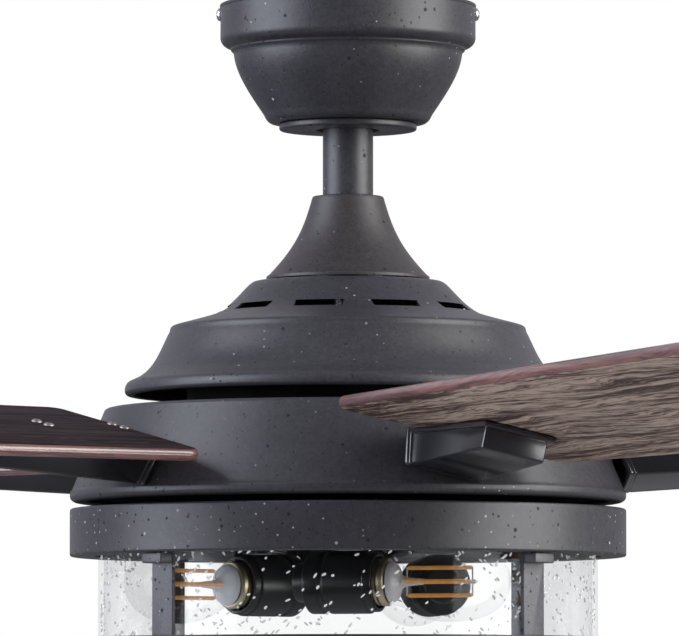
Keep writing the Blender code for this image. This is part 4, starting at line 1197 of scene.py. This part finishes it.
@dataclass
class Hanger:
    """Downrod and the bell over its lower coupling."""

    rod_radius: float = 13.8
    rod_wall: float = 2.5
    rod_span: tuple[float, float] = (-11.0, -144.0)
    pin_heights: tuple[float, float] = (-19.2, -134.0)
    pin_radii: tuple[float, float] = (3.5, 3.6)
    pin_reach: float = 40.0
    yoke_radius: float = 19.0
    yoke_top: float = -120.0
    yoke_base: float = -152.3
    cover_top: float = -105.6
    cover_base: float = -151.4
    cover_radius: float = 44.7
    sheet: float = 1.2

    def crosswise(self, radius: float, height: float) -> bmesh.types.BMesh:
        """Return a bar along X that cuts a cross hole at a height."""
        reach = self.pin_reach
        work = spun_along([(0.0, -reach), (radius, -reach), (radius, reach), (0.0, reach)], 24)
        bmesh.ops.translate(work, vec=(0.0, 0.0, height), verts=work.verts)
        return work

    def downrod(self) -> bmesh.types.BMesh:
        """Return the tube with its two cross holes."""
        top, bottom = self.rod_span
        inner = self.rod_radius - self.rod_wall
        section = rounded([(inner, (top + bottom) / 2, 0.0), (inner, top, 0.4),
                           (self.rod_radius, top, 0.8), (self.rod_radius, bottom, 0.8),
                           (inner, bottom, 0.4), (inner, (top + bottom) / 2 - 1.0, 0.0)])
        holes = [self.crosswise(r, z) for r, z in zip(self.pin_radii, self.pin_heights)]
        return fused(spun(section, 96), holes, "DIFFERENCE")

    def yoke(self) -> bmesh.types.BMesh:
        """Return the cast socket with its flange and its cross hole."""
        bore, seat, shaft = self.rod_radius + 0.3, self.rod_span[1] - 0.3, 7.8
        section = rounded([(bore, self.yoke_top - 8.0, 0.0), (bore, seat, 0.3),
                           (shaft, seat, 0.3), (shaft, self.yoke_base, 0.3),
                           (26.0, self.yoke_base, 0.4), (26.0, self.yoke_base + 4.0, 1.2),
                           (self.yoke_radius, self.yoke_base + 5.4, 1.6),
                           (self.yoke_radius, self.yoke_top, 1.2),
                           (bore, self.yoke_top, 0.5), (bore, self.yoke_top - 7.0, 0.0)])
        screw_hole = spun_along([(0.0, 10.0), (2.9, 10.0), (2.9, 30.0), (0.0, 30.0)], 16)
        bmesh.ops.translate(screw_hole, vec=(0.0, 0.0, self.yoke_top - 5.0),
                            verts=screw_hole.verts)
        holes = [self.crosswise(self.pin_radii[1], self.pin_heights[1]), screw_hole]
        return fused(spun(section, 96), holes, "DIFFERENCE")

    def cover_corners(self) -> list[Corner]:
        """Return the bell's outer face from its neck to its rim."""
        neck, base, radius = self.cover_top, self.cover_base, self.cover_radius
        return ([(17.7, neck, 0.0), (19.3, neck - 0.2, 0.6), (19.9, neck - 1.8, 0.5)]
                + flow((20.1, neck - 2.6), (24.6, -124.0), (28.8, -133.6),
                       (radius - 1.5, base + 2.6), 20)
                + [(radius - 0.6, base + 2.0, 0.4), (radius, base + 1.5, 0.4),
                   (radius, base, 0.0)])

    def build(self, shop: Workshop) -> None:
        """Build the rod, the yoke and the bell."""
        rod = solid("downrod_tube", self.downrod(), shop.palette.charcoal)
        register(rod, Body.FAN, Slot.BLACK_COAT, "downrod")
        yoke = solid("yoke_casting", self.yoke(), shop.palette.steel)
        register(yoke, Body.FAN, Slot.STEEL, "yoke_coupling")
        cover = shop.lathe.turn("coupling_bell", walled(self.cover_corners(), self.sheet),
                                shop.palette.umber)
        register(cover, Body.COVER, Slot.BROWN_COAT, "coupling_cover")


# ------------------------------------------------------------------ motor housings
@dataclass
class TopHousing:
    """Fixed stepped dome over the motor, with a ring of vent slots."""

    top: float = -152.6
    lip_radius: float = 122.0
    lip: float = -215.0
    sheet: float = 1.2
    vent_count: int = 10
    vent_start: float = 22.5
    vent_radius: float = 70.0
    vent_height: float = -167.9
    vent_size: tuple[float, float, float] = (22.0, 27.0, 3.5)

    def corners(self) -> list[Corner]:
        """Return the outer face from the centre hole to the curled lip."""
        radius, lip = self.lip_radius, self.lip
        return ([(17.0, self.top, 0.0), (49.5, self.top, 0.0)]
                + flow((51.5, self.top - 0.1), (55.6, -153.8), (62.0, -165.4), (72.5, -170.4), 10)
                + flow((73.6, -170.8), (79.0, -172.6), (88.0, -174.9), (93.8, -176.4), 5)
                + [(97.0, -177.4, 1.6), (97.6, -180.4, 1.2)]
                + flow((98.6, -182.2), (103.2, -191.6), (106.6, -202.2), (117.2, -206.4), 14)
                + [(120.6, -207.9, 1.6), (radius, -210.6, 1.4), (radius, -213.6, 0.8),
                   (120.8, lip, 0.6), (117.0, lip, 0.0)])

    def build(self, shop: Workshop) -> None:
        """Build the dome and cut its vents."""
        dome = shop.lathe.turn("motor_dome", walled(self.corners(), self.sheet),
                               shop.palette.charcoal)
        vented = shop.cutter.cut(dome, self.vent_count, self.vent_start, self.vent_radius,
                                 self.vent_height, self.vent_size)
        register(vented, Body.FAN, Slot.BLACK_COAT, "top_housing")


@dataclass
class RotorDrum:
    """Sloped drum that turns with the blades."""

    top: float = -222.0
    top_radius: float = 133.5
    shoulder: float = 3.6
    bore: float = 90.0
    lip_radius: float = 151.8
    lip: float = -268.6
    end: float = -273.5
    sheet: float = 1.2
    window: tuple[float, float, float] = (40.0, 33.0, 5.0)
    window_height: float = -247.1

    def corners(self) -> list[Corner]:
        """Return the outer face from the top hole to the curled lip."""
        return [(self.bore, self.top, 0.0), (self.top_radius - 1.0, self.top, 4.5),
                (self.top_radius + 0.4, self.top - self.shoulder, 2.0),
                (self.lip_radius - 1.2, self.lip + 1.8, 1.6),
                (self.lip_radius, self.lip + 0.6, 0.8), (self.lip_radius, self.lip - 3.0, 1.6),
                (self.lip_radius - 2.4, self.end, 1.4), (143.0, self.end, 0.0)]

    def wall_radius(self, height: float) -> float:
        """Return the outer radius of the drum's side at a height."""
        start = self.top - self.shoulder
        share = (start - height) / (start - self.lip - 1.6)
        return self.top_radius + 0.4 + share * (self.lip_radius - 1.4 - self.top_radius)

    def wall_slope(self) -> float:
        """Return the angle of the drum's side from upright, in radians."""
        return atan2(self.lip_radius - 1.4 - self.top_radius, self.top - 5.2 - self.lip)

    def build(self, shop: Workshop, count: int, start: float) -> None:
        """Build the drum with a window for each blade arm.

        Args:
            shop: The shared finishes and trees.
            count: Number of arms.
            start: Azimuth of the first arm.
        """
        drum = shop.lathe.turn("rotor_drum", walled(self.corners(), self.sheet),
                               shop.palette.charcoal)
        opened = shop.cutter.cut(drum, count, start, 145.0, self.window_height, self.window)
        register(opened, Body.ROTOR, Slot.BLACK_COAT, "rotor_housing")


# ------------------------------------------------------------------ blades
@dataclass
class BladeSet:
    """Five wooden blades on tapered box arms."""

    drum: RotorDrum
    count: int = 5
    start: float = 21.0
    pitch: float = 12.0
    height: float = -240.0
    thick: float = 6.6
    root: float = 149.0
    tip: float = 660.0
    root_width: float = 134.0
    tip_width: float = 158.0
    root_round: float = 10.0
    tip_round: float = 30.0
    edge_round: float = 3.1
    arm_end: float = 245.0
    arm_widths: tuple[float, float] = (41.0, 35.0)
    arm_drops: tuple[float, float] = (18.5, 13.0)
    arm_plate: float = 3.0
    arm_bevel: float = 1.5
    gap: float = 0.3
    collar: float = 2.6
    collar_bevel: float = 1.0
    flange: tuple[float, float, float] = (4.0, 45.0, 23.0)
    flange_bevel: float = 1.9
    tongue_start: float = 64.0
    tongue_width: float = 30.0
    tongue_heights: tuple[float, float] = (-248.6, -245.6)
    screw_spots: tuple[Point, ...] = ((204.0, -10.0), (204.0, 1.0), (154.0, -10.0), (154.0, 1.0))
    screw_radius: float = 3.0
    screw_height: float = 1.7

    def azimuths(self) -> list[float]:
        """Return the azimuth of each blade."""
        return [self.start + 360.0 / self.count * i for i in range(self.count)]

    def pitched(self) -> Matrix:
        """Return the turn of the blade about its own length."""
        centre = Vector((0.0, 0.0, self.height))
        return (Matrix.Translation(centre) @ Matrix.Rotation(radians(-self.pitch), 4, "X")
                @ Matrix.Translation(-centre))

    def outline(self) -> list[Point]:
        """Return the plan of a blade along +X."""
        half_root, half_tip = self.root_width / 2, self.tip_width / 2
        small, large = self.root_round, self.tip_round
        corners = (arc((self.root + small, half_root - small), small, 180, 90, 10)
                   + arc((self.tip - large, half_tip - large), large, 90, 0, 14)
                   + arc((self.tip - large, large - half_tip), large, 0, -90, 14)
                   + arc((self.root + small, small - half_root), small, -90, -180, 10))
        return [corner[:2] for corner in corners]

    def blade(self, number: int, azimuth: float, shop: Workshop) -> bpy.types.Object:
        """Return one blade, mapped along its grain and dressed by face.

        Args:
            number: The blade's number, which moves its grain.
            azimuth: Where it points.
            shop: The shared finishes and trees.
        """
        half = self.thick / 2
        work = plate(self.outline(), self.height - half, self.height + half, self.edge_round, 4)
        grain = work.loops.layers.uv.new("grain")
        shift = 0.9 * number
        for face in work.faces:
            upright = face.normal.z
            face.material_index = 0 if upright < -0.93 else 1 if upright > 0.93 else 2
            for loop in face.loops:
                x, y, z = loop.vert.co
                across = y if face.material_index < 2 else z + 200.0
                loop[grain].uv = ((x * MM + shift), (across * MM + shift))
        piece = solid(f"blade_board_{number}", work, shop.palette.weathered,
                      turned_to(azimuth) @ self.pitched())
        for finish in (shop.palette.stained, shop.palette.sealed):
            piece.data.materials.append(finish.material())
        return piece

    def arm_box(self, root: float, plate_top: float) -> bmesh.types.BMesh:
        """Return the tapered box of an arm along +X, its root cut to the drum's slope.

        Args:
            root: Radius of its inner end at the top.
            plate_top: Height of the blade plate's top.
        """
        lean = self.arm_drops[0] * sin(self.drum.wall_slope())
        box = bmesh.new()
        corners = []
        for radius, width, drop, back in (
                (root, self.arm_widths[0], self.arm_drops[0], lean),
                (self.arm_end, self.arm_widths[1], self.arm_drops[1], 0.0)):
            for side, down in ((-1, 0), (1, 0), (1, 1), (-1, 1)):
                corners.append(box.verts.new((radius + down * back, side * width / 2,
                                              plate_top - self.arm_plate / 2 - down * drop)))
        for ring in ((0, 1, 2, 3), (7, 6, 5, 4), (0, 4, 5, 1), (1, 5, 6, 2), (2, 6, 7, 3),
                     (3, 7, 4, 0)):
            box.faces.new([corners[i] for i in ring])
        bmesh.ops.recalc_face_normals(box, faces=box.faces)
        bmesh.ops.bevel(box, geom=box.edges[:], offset=self.arm_bevel, segments=3, profile=0.5,
                        affect="EDGES")
        return box

    def leaning_block(self, size: Sequence[float], centre: Point,
                      bevel: float) -> bmesh.types.BMesh:
        """Return a block that leans with the drum's side, its middle at (radius, height)."""
        work = block(size, bevel=bevel)
        bmesh.ops.transform(work, matrix=Matrix.Translation((centre[0], 0.0, centre[1]))
                            @ Matrix.Rotation(-self.drum.wall_slope(), 4, "Y"), verts=work.verts)
        return work

    def arm(self, azimuth: float) -> bmesh.types.BMesh:
        """Return one arm: tongue, flange, tapered box and blade plate."""
        low, high = self.tongue_heights
        plate_top = self.height - self.thick / 2 - self.gap
        root_drop, root_width = self.arm_drops[0], self.arm_widths[0]
        root = self.drum.wall_radius(plate_top - root_drop / 2) + 3.0
        box = self.arm_box(root, plate_top)
        end, wing = self.arm_end + 4.0, self.arm_widths[1] / 2 + 2.5
        seat = plate([(root, -root_width / 2 - 1.0), (end, -wing), (end, wing),
                      (root, root_width / 2 + 1.0)], plate_top - self.arm_plate, plate_top, 0.6)
        flange_z = plate_top - root_drop / 2 - 0.5
        flange_r = (self.drum.wall_radius(flange_z)
                    + self.flange[0] / 2 / cos(self.drum.wall_slope()) + 1.4)
        flange = self.leaning_block(self.flange, (flange_r, flange_z), self.flange_bevel)
        collar = self.leaning_block(
            (self.collar, root_width + 1.6, root_drop + 1.0),
            (flange_r + self.flange[0] / 2 + self.collar / 2 - 0.6,
             plate_top - self.arm_plate / 2 - root_drop / 2), self.collar_bevel)
        for piece in (box, seat, flange, collar):
            bmesh.ops.transform(piece, matrix=self.pitched(), verts=piece.verts)
        reach = root + 0.6
        tongue = block((reach - self.tongue_start, self.tongue_width, high - low),
                       ((reach + self.tongue_start) / 2, 0.0, (low + high) / 2), 0.5)
        whole = fused(box, [seat, flange, collar, tongue], "UNION")
        bmesh.ops.transform(whole, matrix=turned_to(azimuth), verts=whole.verts)
        return whole

    def build(self, shop: Workshop) -> None:
        """Build every arm, blade and blade screw."""
        spots = []
        for number, azimuth in enumerate(self.azimuths(), start=1):
            arm = solid(f"arm_casting_{number}", self.arm(azimuth), shop.palette.gloss)
            register(arm, Body.ROTOR, Slot.BLACK_COAT, f"blade_arm_{number}")
            blade = self.blade(number, azimuth, shop)
            register(blade, Body.ROTOR, Slot.WOOD, f"blade_{number}")
            place = turned_to(azimuth) @ self.pitched()
            aim = place.to_3x3() @ Vector((0.0, 0.0, 1.0))
            spots += [(place @ Vector((x, y, self.height + self.thick / 2 - 0.2)), aim)
                      for x, y in self.screw_spots]
        heads = shop.screws.place("blade_screw_heads", spots, self.screw_radius,
                                  self.screw_height, shop.palette.dull)
        register(heads, Body.ROTOR, Slot.SCREW)


# ------------------------------------------------------------------ light kit
@dataclass
class LampCage:
    """Light pan, cage bars and the ring round the foot of the glass."""

    pan_radius: float = 151.8
    pan_top: float = -277.0
    pan_end: float = -303.0
    pan_lip: float = 138.2
    shaft_hole: float = 7.8
    sheet: float = 1.2
    bar_azimuths: tuple[float, ...] = (45.0, 135.0, 225.0, 315.0)
    bar_width: float = 16.0
    bar_thick: float = 2.3
    bar_face: float = 137.2
    lug: tuple[float, float, float] = (15.0, 8.0, 5.6)
    ring_radius: float = 142.4
    ring_wall: float = 1.9
    ring_flange: float = 124.0
    ring_span: tuple[float, float] = (-373.0, -347.0)

    def pan_corners(self) -> list[Corner]:
        """Return the pan's outer face from the shaft hole to its turned-in lip."""
        radius, top, end = self.pan_radius, self.pan_top, self.pan_end
        return [(self.shaft_hole, top, 0.0), (60.0, top, 0.0), (110.0, top, 0.0),
                (radius - 0.7, top, 1.3), (radius, top - 0.8, 0.6), (radius, top - 2.4, 0.0),
                (radius, end + 2.4, 0.0), (radius, end + 0.8, 0.6), (radius - 0.7, end, 1.3),
                (self.pan_lip, end, 0.0)]

    def ring_section(self) -> list[Point]:
        """Return the closed section of the cage ring."""
        low, high = self.ring_span
        inner = self.ring_radius - self.ring_wall
        return rounded([(inner, -360.0, 0.0), (inner, low + self.sheet, 0.4),
                        (self.ring_flange, low + self.sheet, 0.4), (self.ring_flange, low, 0.4),
                        (self.ring_radius, low, 1.8), (self.ring_radius, high, 0.7),
                        (inner, high, 0.7), (inner, -359.0, 0.0)])

    def build(self, shop: Workshop) -> None:
        """Build the pan, the bars and the ring."""
        finish = shop.palette.flecked
        pan = shop.lathe.turn("pan_shell", walled(self.pan_corners(), self.sheet), finish)
        register(pan, Body.FAN, Slot.BLACK_COAT, "light_pan")
        register(shop.lathe.turn("foot_ring", self.ring_section(), finish), Body.FAN,
                 Slot.BLACK_COAT, "cage_ring")
        top = self.pan_end - 0.3
        bottom = self.ring_span[0] + self.sheet + 0.3
        width, reach, drop = self.lug
        for number, azimuth in enumerate(self.bar_azimuths, start=1):
            bar = block((self.bar_thick, self.bar_width, top - bottom),
                        (self.bar_face + self.bar_thick / 2, 0.0, (top + bottom) / 2), 0.6)
            middle = self.bar_face + self.bar_thick + reach / 2 - 0.5
            lug = block((reach + 1.0, width, drop), (middle, 0.0, top - drop / 2), 0.8)
            piece = solid(f"cage_strap_{number}", fused(bar, [lug], "UNION"), shop.palette.strap,
                          turned_to(azimuth))
            register(piece, Body.FAN, Slot.BLACK_COAT, f"cage_bar_{number}")


@dataclass
class GlassDrum:
    """Straight-sided glass cup with seeds in its wall."""

    radius: float = 136.2
    wall: float = 3.0
    top: float = -292.0
    end: float = -369.0
    foot: float = 7.0
    seed_density: float = 32000.0
    seed_half: float = 1.7
    seed_chance: int = 7

    def cup(self) -> bmesh.types.BMesh:
        """Return the cup, closed over its foot."""
        radius, end, foot = self.radius, self.end, self.foot
        centre = (radius - foot, end + foot)
        inner = radius - self.wall
        section = ([(radius - 1.5, self.top), (radius - 0.4, self.top - 0.4),
                    (radius, self.top - 1.5), (radius, -330.0)]
                   + [spot[:2] for spot in arc(centre, foot, 0, -90, 8)]
                   + [(radius * 0.6, end), (radius * 0.3, end), (0.0, end),
                      (0.0, end + self.wall), (radius * 0.3, end + self.wall),
                      (radius * 0.6, end + self.wall)]
                   + [spot[:2] for spot in arc(centre, foot - self.wall, -90, 0, 6)]
                   + [(inner, -330.0), (inner, self.top - 1.5), (inner + 0.4, self.top - 0.4)])
        return spun(section, 192)

    def guide(self) -> bpy.types.Mesh:
        """Return the surface in the middle of the wall that the seeds lie in."""
        work = bmesh.new()
        middle = (self.radius - self.wall / 2) * MM
        low, high = (self.end + self.foot) * MM, (self.top - 3.0) * MM
        steps = 96
        rings = [[work.verts.new((middle * cos(2 * pi * k / steps),
                                  middle * sin(2 * pi * k / steps), z)) for k in range(steps)]
                 for z in (low, high)]
        for k in range(steps):
            following = (k + 1) % steps
            work.faces.new([rings[0][k], rings[0][following], rings[1][following], rings[1][k]])
        mesh = bpy.data.meshes.new("guide")
        work.to_mesh(mesh)
        work.free()
        return mesh

    def build(self, shop: Workshop) -> None:
        """Build the cup and its seeds."""
        cup = solid("glass_cup", self.cup(), shop.palette.drum)
        register(cup, Body.FAN, Slot.GLASS, "glass_drum")
        seeds = shop.seeds.strew("glass_seeds", self.guide(), self.seed_density,
                                 self.seed_half, self.seed_chance, shop.palette.seed)
        register(seeds, Body.FAN, Slot.GLASS)


@dataclass
class LampSet:
    """Three strand bulbs in black sockets that lie round the fan's axis."""

    azimuths: tuple[float, ...] = (-50.0, 70.0, 190.0)
    offset: float = -51.0
    mouth: float = 36.7
    height: float = -318.0
    socket_radius: float = 17.0
    socket_length: float = 39.0
    socket_wall: float = 3.0
    boot_radius: float = 10.5
    boot_length: float = 8.0
    base_radius: float = 13.0
    bulb_radius: float = 21.5
    bulb_reach: float = 73.0
    strand_circle: float = 7.4
    strand_radius: float = 1.1
    strand_span: tuple[float, float] = (16.0, 52.0)
    thread_turns: int = 6

    def place(self, azimuth: float) -> Matrix:
        """Return the frame of one lamp: +X out of the socket's mouth."""
        out = heading(azimuth)
        across = Vector((-out.y, out.x, 0.0))
        spot = out * self.mouth + across * self.offset + Vector((0.0, 0.0, self.height))
        return Matrix.Translation(spot) @ turned_to(azimuth)

    def socket(self) -> bmesh.types.BMesh:
        """Return the socket's shell with its rim, waist groove and bore."""
        radius, length = self.socket_radius, self.socket_length
        inner = radius - self.socket_wall
        boot, reach = self.boot_radius, self.boot_length
        section = rounded([(0.0, -length - reach, 0.0), (boot, -length - reach, 2.0),
                           (boot + 1.0, -length, 0.8), (radius, -length, 1.6),
                           (radius, 8.0 - length, 0.5), (radius - 1.0, 9.0 - length, 0.4),
                           (radius - 1.0, 11.0 - length, 0.4), (radius, 12.0 - length, 0.5),
                           (radius, -5.0, 0.4), (radius - 0.9, -4.2, 0.3),
                           (radius - 0.9, 0.0, 0.8), (inner, 0.0, 0.6),
                           (inner, 4.0 - length, 0.5), (0.0, 4.0 - length, 0.0)])
        return spun_along(section, 72)

    def screw_base(self) -> bmesh.types.BMesh:
        """Return the bulb's metal base with its rolled thread and its contact."""
        radius = self.base_radius
        corners: list[Corner] = [(0.0, -26.0, 0.0), (4.5, -25.8, 0.4), (5.0, -24.4, 0.4),
                                 (9.0, -22.6, 0.8), (radius - 0.8, -20.4, 0.5)]
        start, pitch = -19.5, 3.4
        for turn in range(self.thread_turns):
            low = start + turn * pitch
            corners += [(radius - 0.9, low, 0.6), (radius - 0.1, low + pitch / 2, 0.9)]
        top = start + self.thread_turns * pitch
        corners += [(radius - 0.6, top + 0.4, 0.4), (radius, top + 1.4, 0.5), (radius, 5.0, 0.6),
                    (radius - 0.8, 5.8, 0.0), (0.0, 5.8, 0.0)]
        return spun_along(rounded(corners), 64)

    def envelope(self) -> bmesh.types.BMesh:
        """Return the bulb's glass, from its neck to its round tip."""
        neck, radius, reach = self.base_radius - 0.4, self.bulb_radius, self.bulb_reach
        corners = ([(0.0, 6.1, 0.0), (neck, 6.1, 0.0), (neck, 7.4, 0.0)]
                   + flow((neck + 0.1, 9.0), (neck + 0.6, 17.0), (radius, 20.0),
                          (radius, reach - 33.0), 14)
                   + flow((radius, reach - 30.0), (radius, reach - 11.0), (13.0, reach),
                          (0.0, reach), 16))
        return spun_along([corner[:2] for corner in corners], 72)

    def strands(self) -> bmesh.types.BMesh:
        """Return the four amber strands round the bulb's axis."""
        start, end = self.strand_span
        radius = self.strand_radius
        section = rounded([(0.0, start, 0.0), (radius, start, 0.5), (radius, end, 0.5),
                           (0.0, end, 0.0)])
        whole = bmesh.new()
        for quarter in range(4):
            angle = quarter * pi / 2
            strand = spun_along(section, 14)
            bmesh.ops.translate(strand, vec=(0.0, self.strand_circle * sin(angle),
                                             self.strand_circle * cos(angle)),
                                verts=strand.verts)
            mesh = bpy.data.meshes.new("strand")
            strand.to_mesh(mesh)
            strand.free()
            whole.from_mesh(mesh)
            bpy.data.meshes.remove(mesh)
        return whole

    def stem(self) -> bmesh.types.BMesh:
        """Return the glass stem with the wire cross that holds the strands."""
        start, end = self.strand_span
        column = spun_along(rounded([(0.0, 6.4, 0.0), (11.4, 6.4, 0.4), (10.2, 9.6, 1.5),
                                     (3.6, 12.6, 2.0), (2.4, start, 1.0),
                                     (1.6, start + 9.0, 0.6), (0.0, start + 9.0, 0.0)]), 32)
        wires = []
        for place, reach in ((start - 0.6, self.strand_circle), (end + 0.6, self.strand_circle)):
            for turn in (0.0, pi / 2):
                wire = block((0.7, 2 * reach + 0.8, 0.7), (place, 0.0, 0.0))
                bmesh.ops.transform(wire, matrix=Matrix.Rotation(turn, 4, "X"), verts=wire.verts)
                wires.append(wire)
        wires.append(block((end - start - 6.0, 0.8, 0.8), ((start + end) / 2 + 3.6, 0.0, 0.0)))
        return fused(column, wires, "UNION")

    def build(self, shop: Workshop) -> None:
        """Build each lamp's socket, base, glass, stem and strands."""
        palette = shop.palette
        for number, azimuth in enumerate(self.azimuths, start=1):
            place = self.place(azimuth)
            register(solid(f"socket_shell_{number}", self.socket(), palette.plastic, place),
                     Body.FAN, Slot.PLASTIC, f"lamp_socket_{number}")
            register(solid(f"bulb_envelope_{number}", self.envelope(), palette.envelope, place),
                     Body.FAN, Slot.BULB, f"bulb_{number}")
            register(solid(f"bulb_base_{number}", self.screw_base(), palette.brass, place),
                     Body.FAN, Slot.SCREW)
            register(solid(f"bulb_stem_{number}", self.stem(), palette.milky, place),
                     Body.FAN, Slot.BULB)
            register(solid(f"bulb_strands_{number}", self.strands(), palette.strand, place),
                     Body.FAN, Slot.BULB)


# ------------------------------------------------------------------ carried-over nodes
@dataclass
class CarriedNodes:
    """Finishes of the frame's own nodes that stay visible."""

    zinc: tuple[str, ...] = ("hanger_bracket", "ball_cross_pin", "yoke_set_screw", "clevis_pin",
                             "clevis_clip", "pan_nut")
    steel: tuple[str, ...] = ("motor_mount_plate", "motor_shaft", "stator_core", "upper_bearing",
                              "lower_bearing", "arm_carrier")
    # hidden motor parts that take the near-black coat of painted shade
    painted_shade_black: tuple[str, ...] = ("motor_upper_shell", "motor_lower_shell", "shaft_spacer",
                               "rotor_bottom_cover")
    coated: tuple[str, ...] = ("socket_bracket_1", "socket_bracket_2", "socket_bracket_3")
    copper: tuple[str, ...] = ("upper_winding", "lower_winding")
    ferrite: tuple[str, ...] = ("magnet_ring",)
    plastic: tuple[str, ...] = ("ball_liner",)
    grey_plastic: tuple[str, ...] = ("receiver_box", "hanger_ball")

    def dress(self, palette: Palette) -> None:
        """Give every carried-over node its finish."""
        for names, finish in ((self.zinc, palette.zinc), (self.steel, palette.steel),
                              (self.painted_shade_black, palette.painted_shade_black), (self.coated, palette.gloss),
                              (self.copper, palette.copper), (self.ferrite, palette.ferrite),
                              (self.plastic, palette.plastic),
                              (self.grey_plastic, palette.grey_plastic)):
            for name in names:
                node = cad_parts[name]
                node.data.materials.clear()
                node.data.materials.append(finish.material())
                LOG.info("dressed %s in %s", name, finish.name)


# ------------------------------------------------------------------ studio
@dataclass(frozen=True)
class SoftBox:
    """Square-cornered soft box that faces the fan and stays out of sight."""

    name: str
    azimuth: float
    power: float
    colour: Colour
    distance: float = 2.3
    height: float = 0.35
    size: tuple[float, float] = (2.0, 2.4)
    aim_height: float = -0.22

    def hang(self) -> None:
        """Link the lamp, turned to the middle of the fan."""
        lamp = bpy.data.lights.new(self.name, "AREA")
        lamp.shape = "RECTANGLE"
        lamp.size, lamp.size_y = self.size
        lamp.energy = self.power
        lamp.color = self.colour
        box = bpy.data.objects.new(self.name, lamp)
        box.location = heading(self.azimuth) * self.distance + Vector((0.0, 0.0, self.height))
        aim = Vector((0.0, 0.0, self.aim_height)) - box.location
        box.rotation_euler = aim.to_track_quat("-Z", "Y").to_euler()
        box.visible_camera = False
        bpy.context.scene.collection.objects.link(box)


@dataclass
class Studio:
    """Pale floor, white backdrop light, two soft boxes and the camera."""

    floor_height: float = -2.44
    floor_size: float = 160.0
    eye: tuple[float, float, float] = (0.0, -3.5555, -0.3963)
    target: tuple[float, float, float] = (-0.00465, 0.0, -0.1723)
    lens: float = 345.3
    sensor: float = 36.0
    sight: float = 200.0
    front_light: float = 0.12
    back_light: float = 0.45
    top_light: float = 0.22
    tone: Colour = (0.93, 0.91, 1.0)
    behind_span: Point = (0.1, 0.95)
    above_span: Point = (0.0, 0.9)
    boxes: tuple[SoftBox, ...] = (SoftBox("left_soft_box", -74.0, 76.0, (0.84, 0.88, 1.0)),
                                  SoftBox("right_soft_box", 71.0, 82.0, (1.0, 1.0, 0.99)))

    def floor(self, palette: Palette) -> None:
        """Lay the floor under the fan."""
        half = self.floor_size / 2
        mesh = bpy.data.meshes.new("floor")
        mesh.from_pydata([(-half, -half, self.floor_height), (half, -half, self.floor_height),
                          (half, half, self.floor_height), (-half, half, self.floor_height)],
                         [], [(0, 1, 2, 3)])
        mesh.materials.append(palette.floor.material())
        floor = bpy.data.objects.new("floor", mesh)
        bpy.context.scene.collection.objects.link(floor)

    def world(self) -> None:
        """Make the surroundings: white to look at, brightest behind the fan as light."""
        world = bpy.data.worlds.new("studio")
        bpy.context.scene.world = world
        world.use_nodes = True
        book = NodeBook(world.node_tree)
        book.tree.nodes.clear()
        way = book.node("ShaderNodeTexCoord")
        split = book.node("ShaderNodeSeparateXYZ", None, {0: way.outputs["Generated"]})
        behind = Value(book, split.outputs[1]).between(*self.behind_span)
        above = Value(book, split.outputs[2]).between(*self.above_span)
        power = self.front_light + behind * self.back_light + above * self.top_light
        soft = book.node("ShaderNodeBackground", None,
                         {"Color": (*self.tone, 1.0), "Strength": power})
        plain = book.node("ShaderNodeBackground", None,
                          {"Color": (1.0, 1.0, 1.0, 1.0), "Strength": 1.0})
        ray = book.node("ShaderNodeLightPath")
        mixed = book.node("ShaderNodeMixShader", None, {
            0: ray.outputs["Is Camera Ray"], 1: soft.outputs[0], 2: plain.outputs[0]})
        book.node("ShaderNodeOutputWorld", None, {"Surface": mixed.outputs[0]})

    def camera(self) -> None:
        """Place the camera below the blades, looking slightly up."""
        lens = bpy.data.cameras.new("camera")
        lens.lens = self.lens
        lens.sensor_width = self.sensor
        lens.clip_end = self.sight
        eye = bpy.data.objects.new("camera", lens)
        eye.location = self.eye
        aim = Vector(self.target) - eye.location
        eye.rotation_euler = aim.to_track_quat("-Z", "Y").to_euler()
        bpy.context.scene.collection.objects.link(eye)
        bpy.context.scene.camera = eye

    def build(self, palette: Palette) -> None:
        """Set up the whole studio."""
        bpy.context.scene.view_settings.view_transform = "Standard"
        self.floor(palette)
        self.world()
        for box in self.boxes:
            box.hang()
        self.camera()


def main() -> None:
    """Build the fan around the frame, sub-assembly by sub-assembly."""
    logging.basicConfig(level=logging.INFO, format="%(message)s")
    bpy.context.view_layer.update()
    shop = Workshop()
    Studio().build(shop.palette)
    CeilingMount().build(shop)
    Hanger().build(shop)
    TopHousing().build(shop)
    drum = RotorDrum()
    blades = BladeSet(drum)
    drum.build(shop, blades.count, blades.start)
    blades.build(shop)
    LampCage().build(shop)
    GlassDrum().build(shop)
    LampSet().build(shop)
    CarriedNodes().dress(shop.palette)


if __name__ == "__main__":
    main()
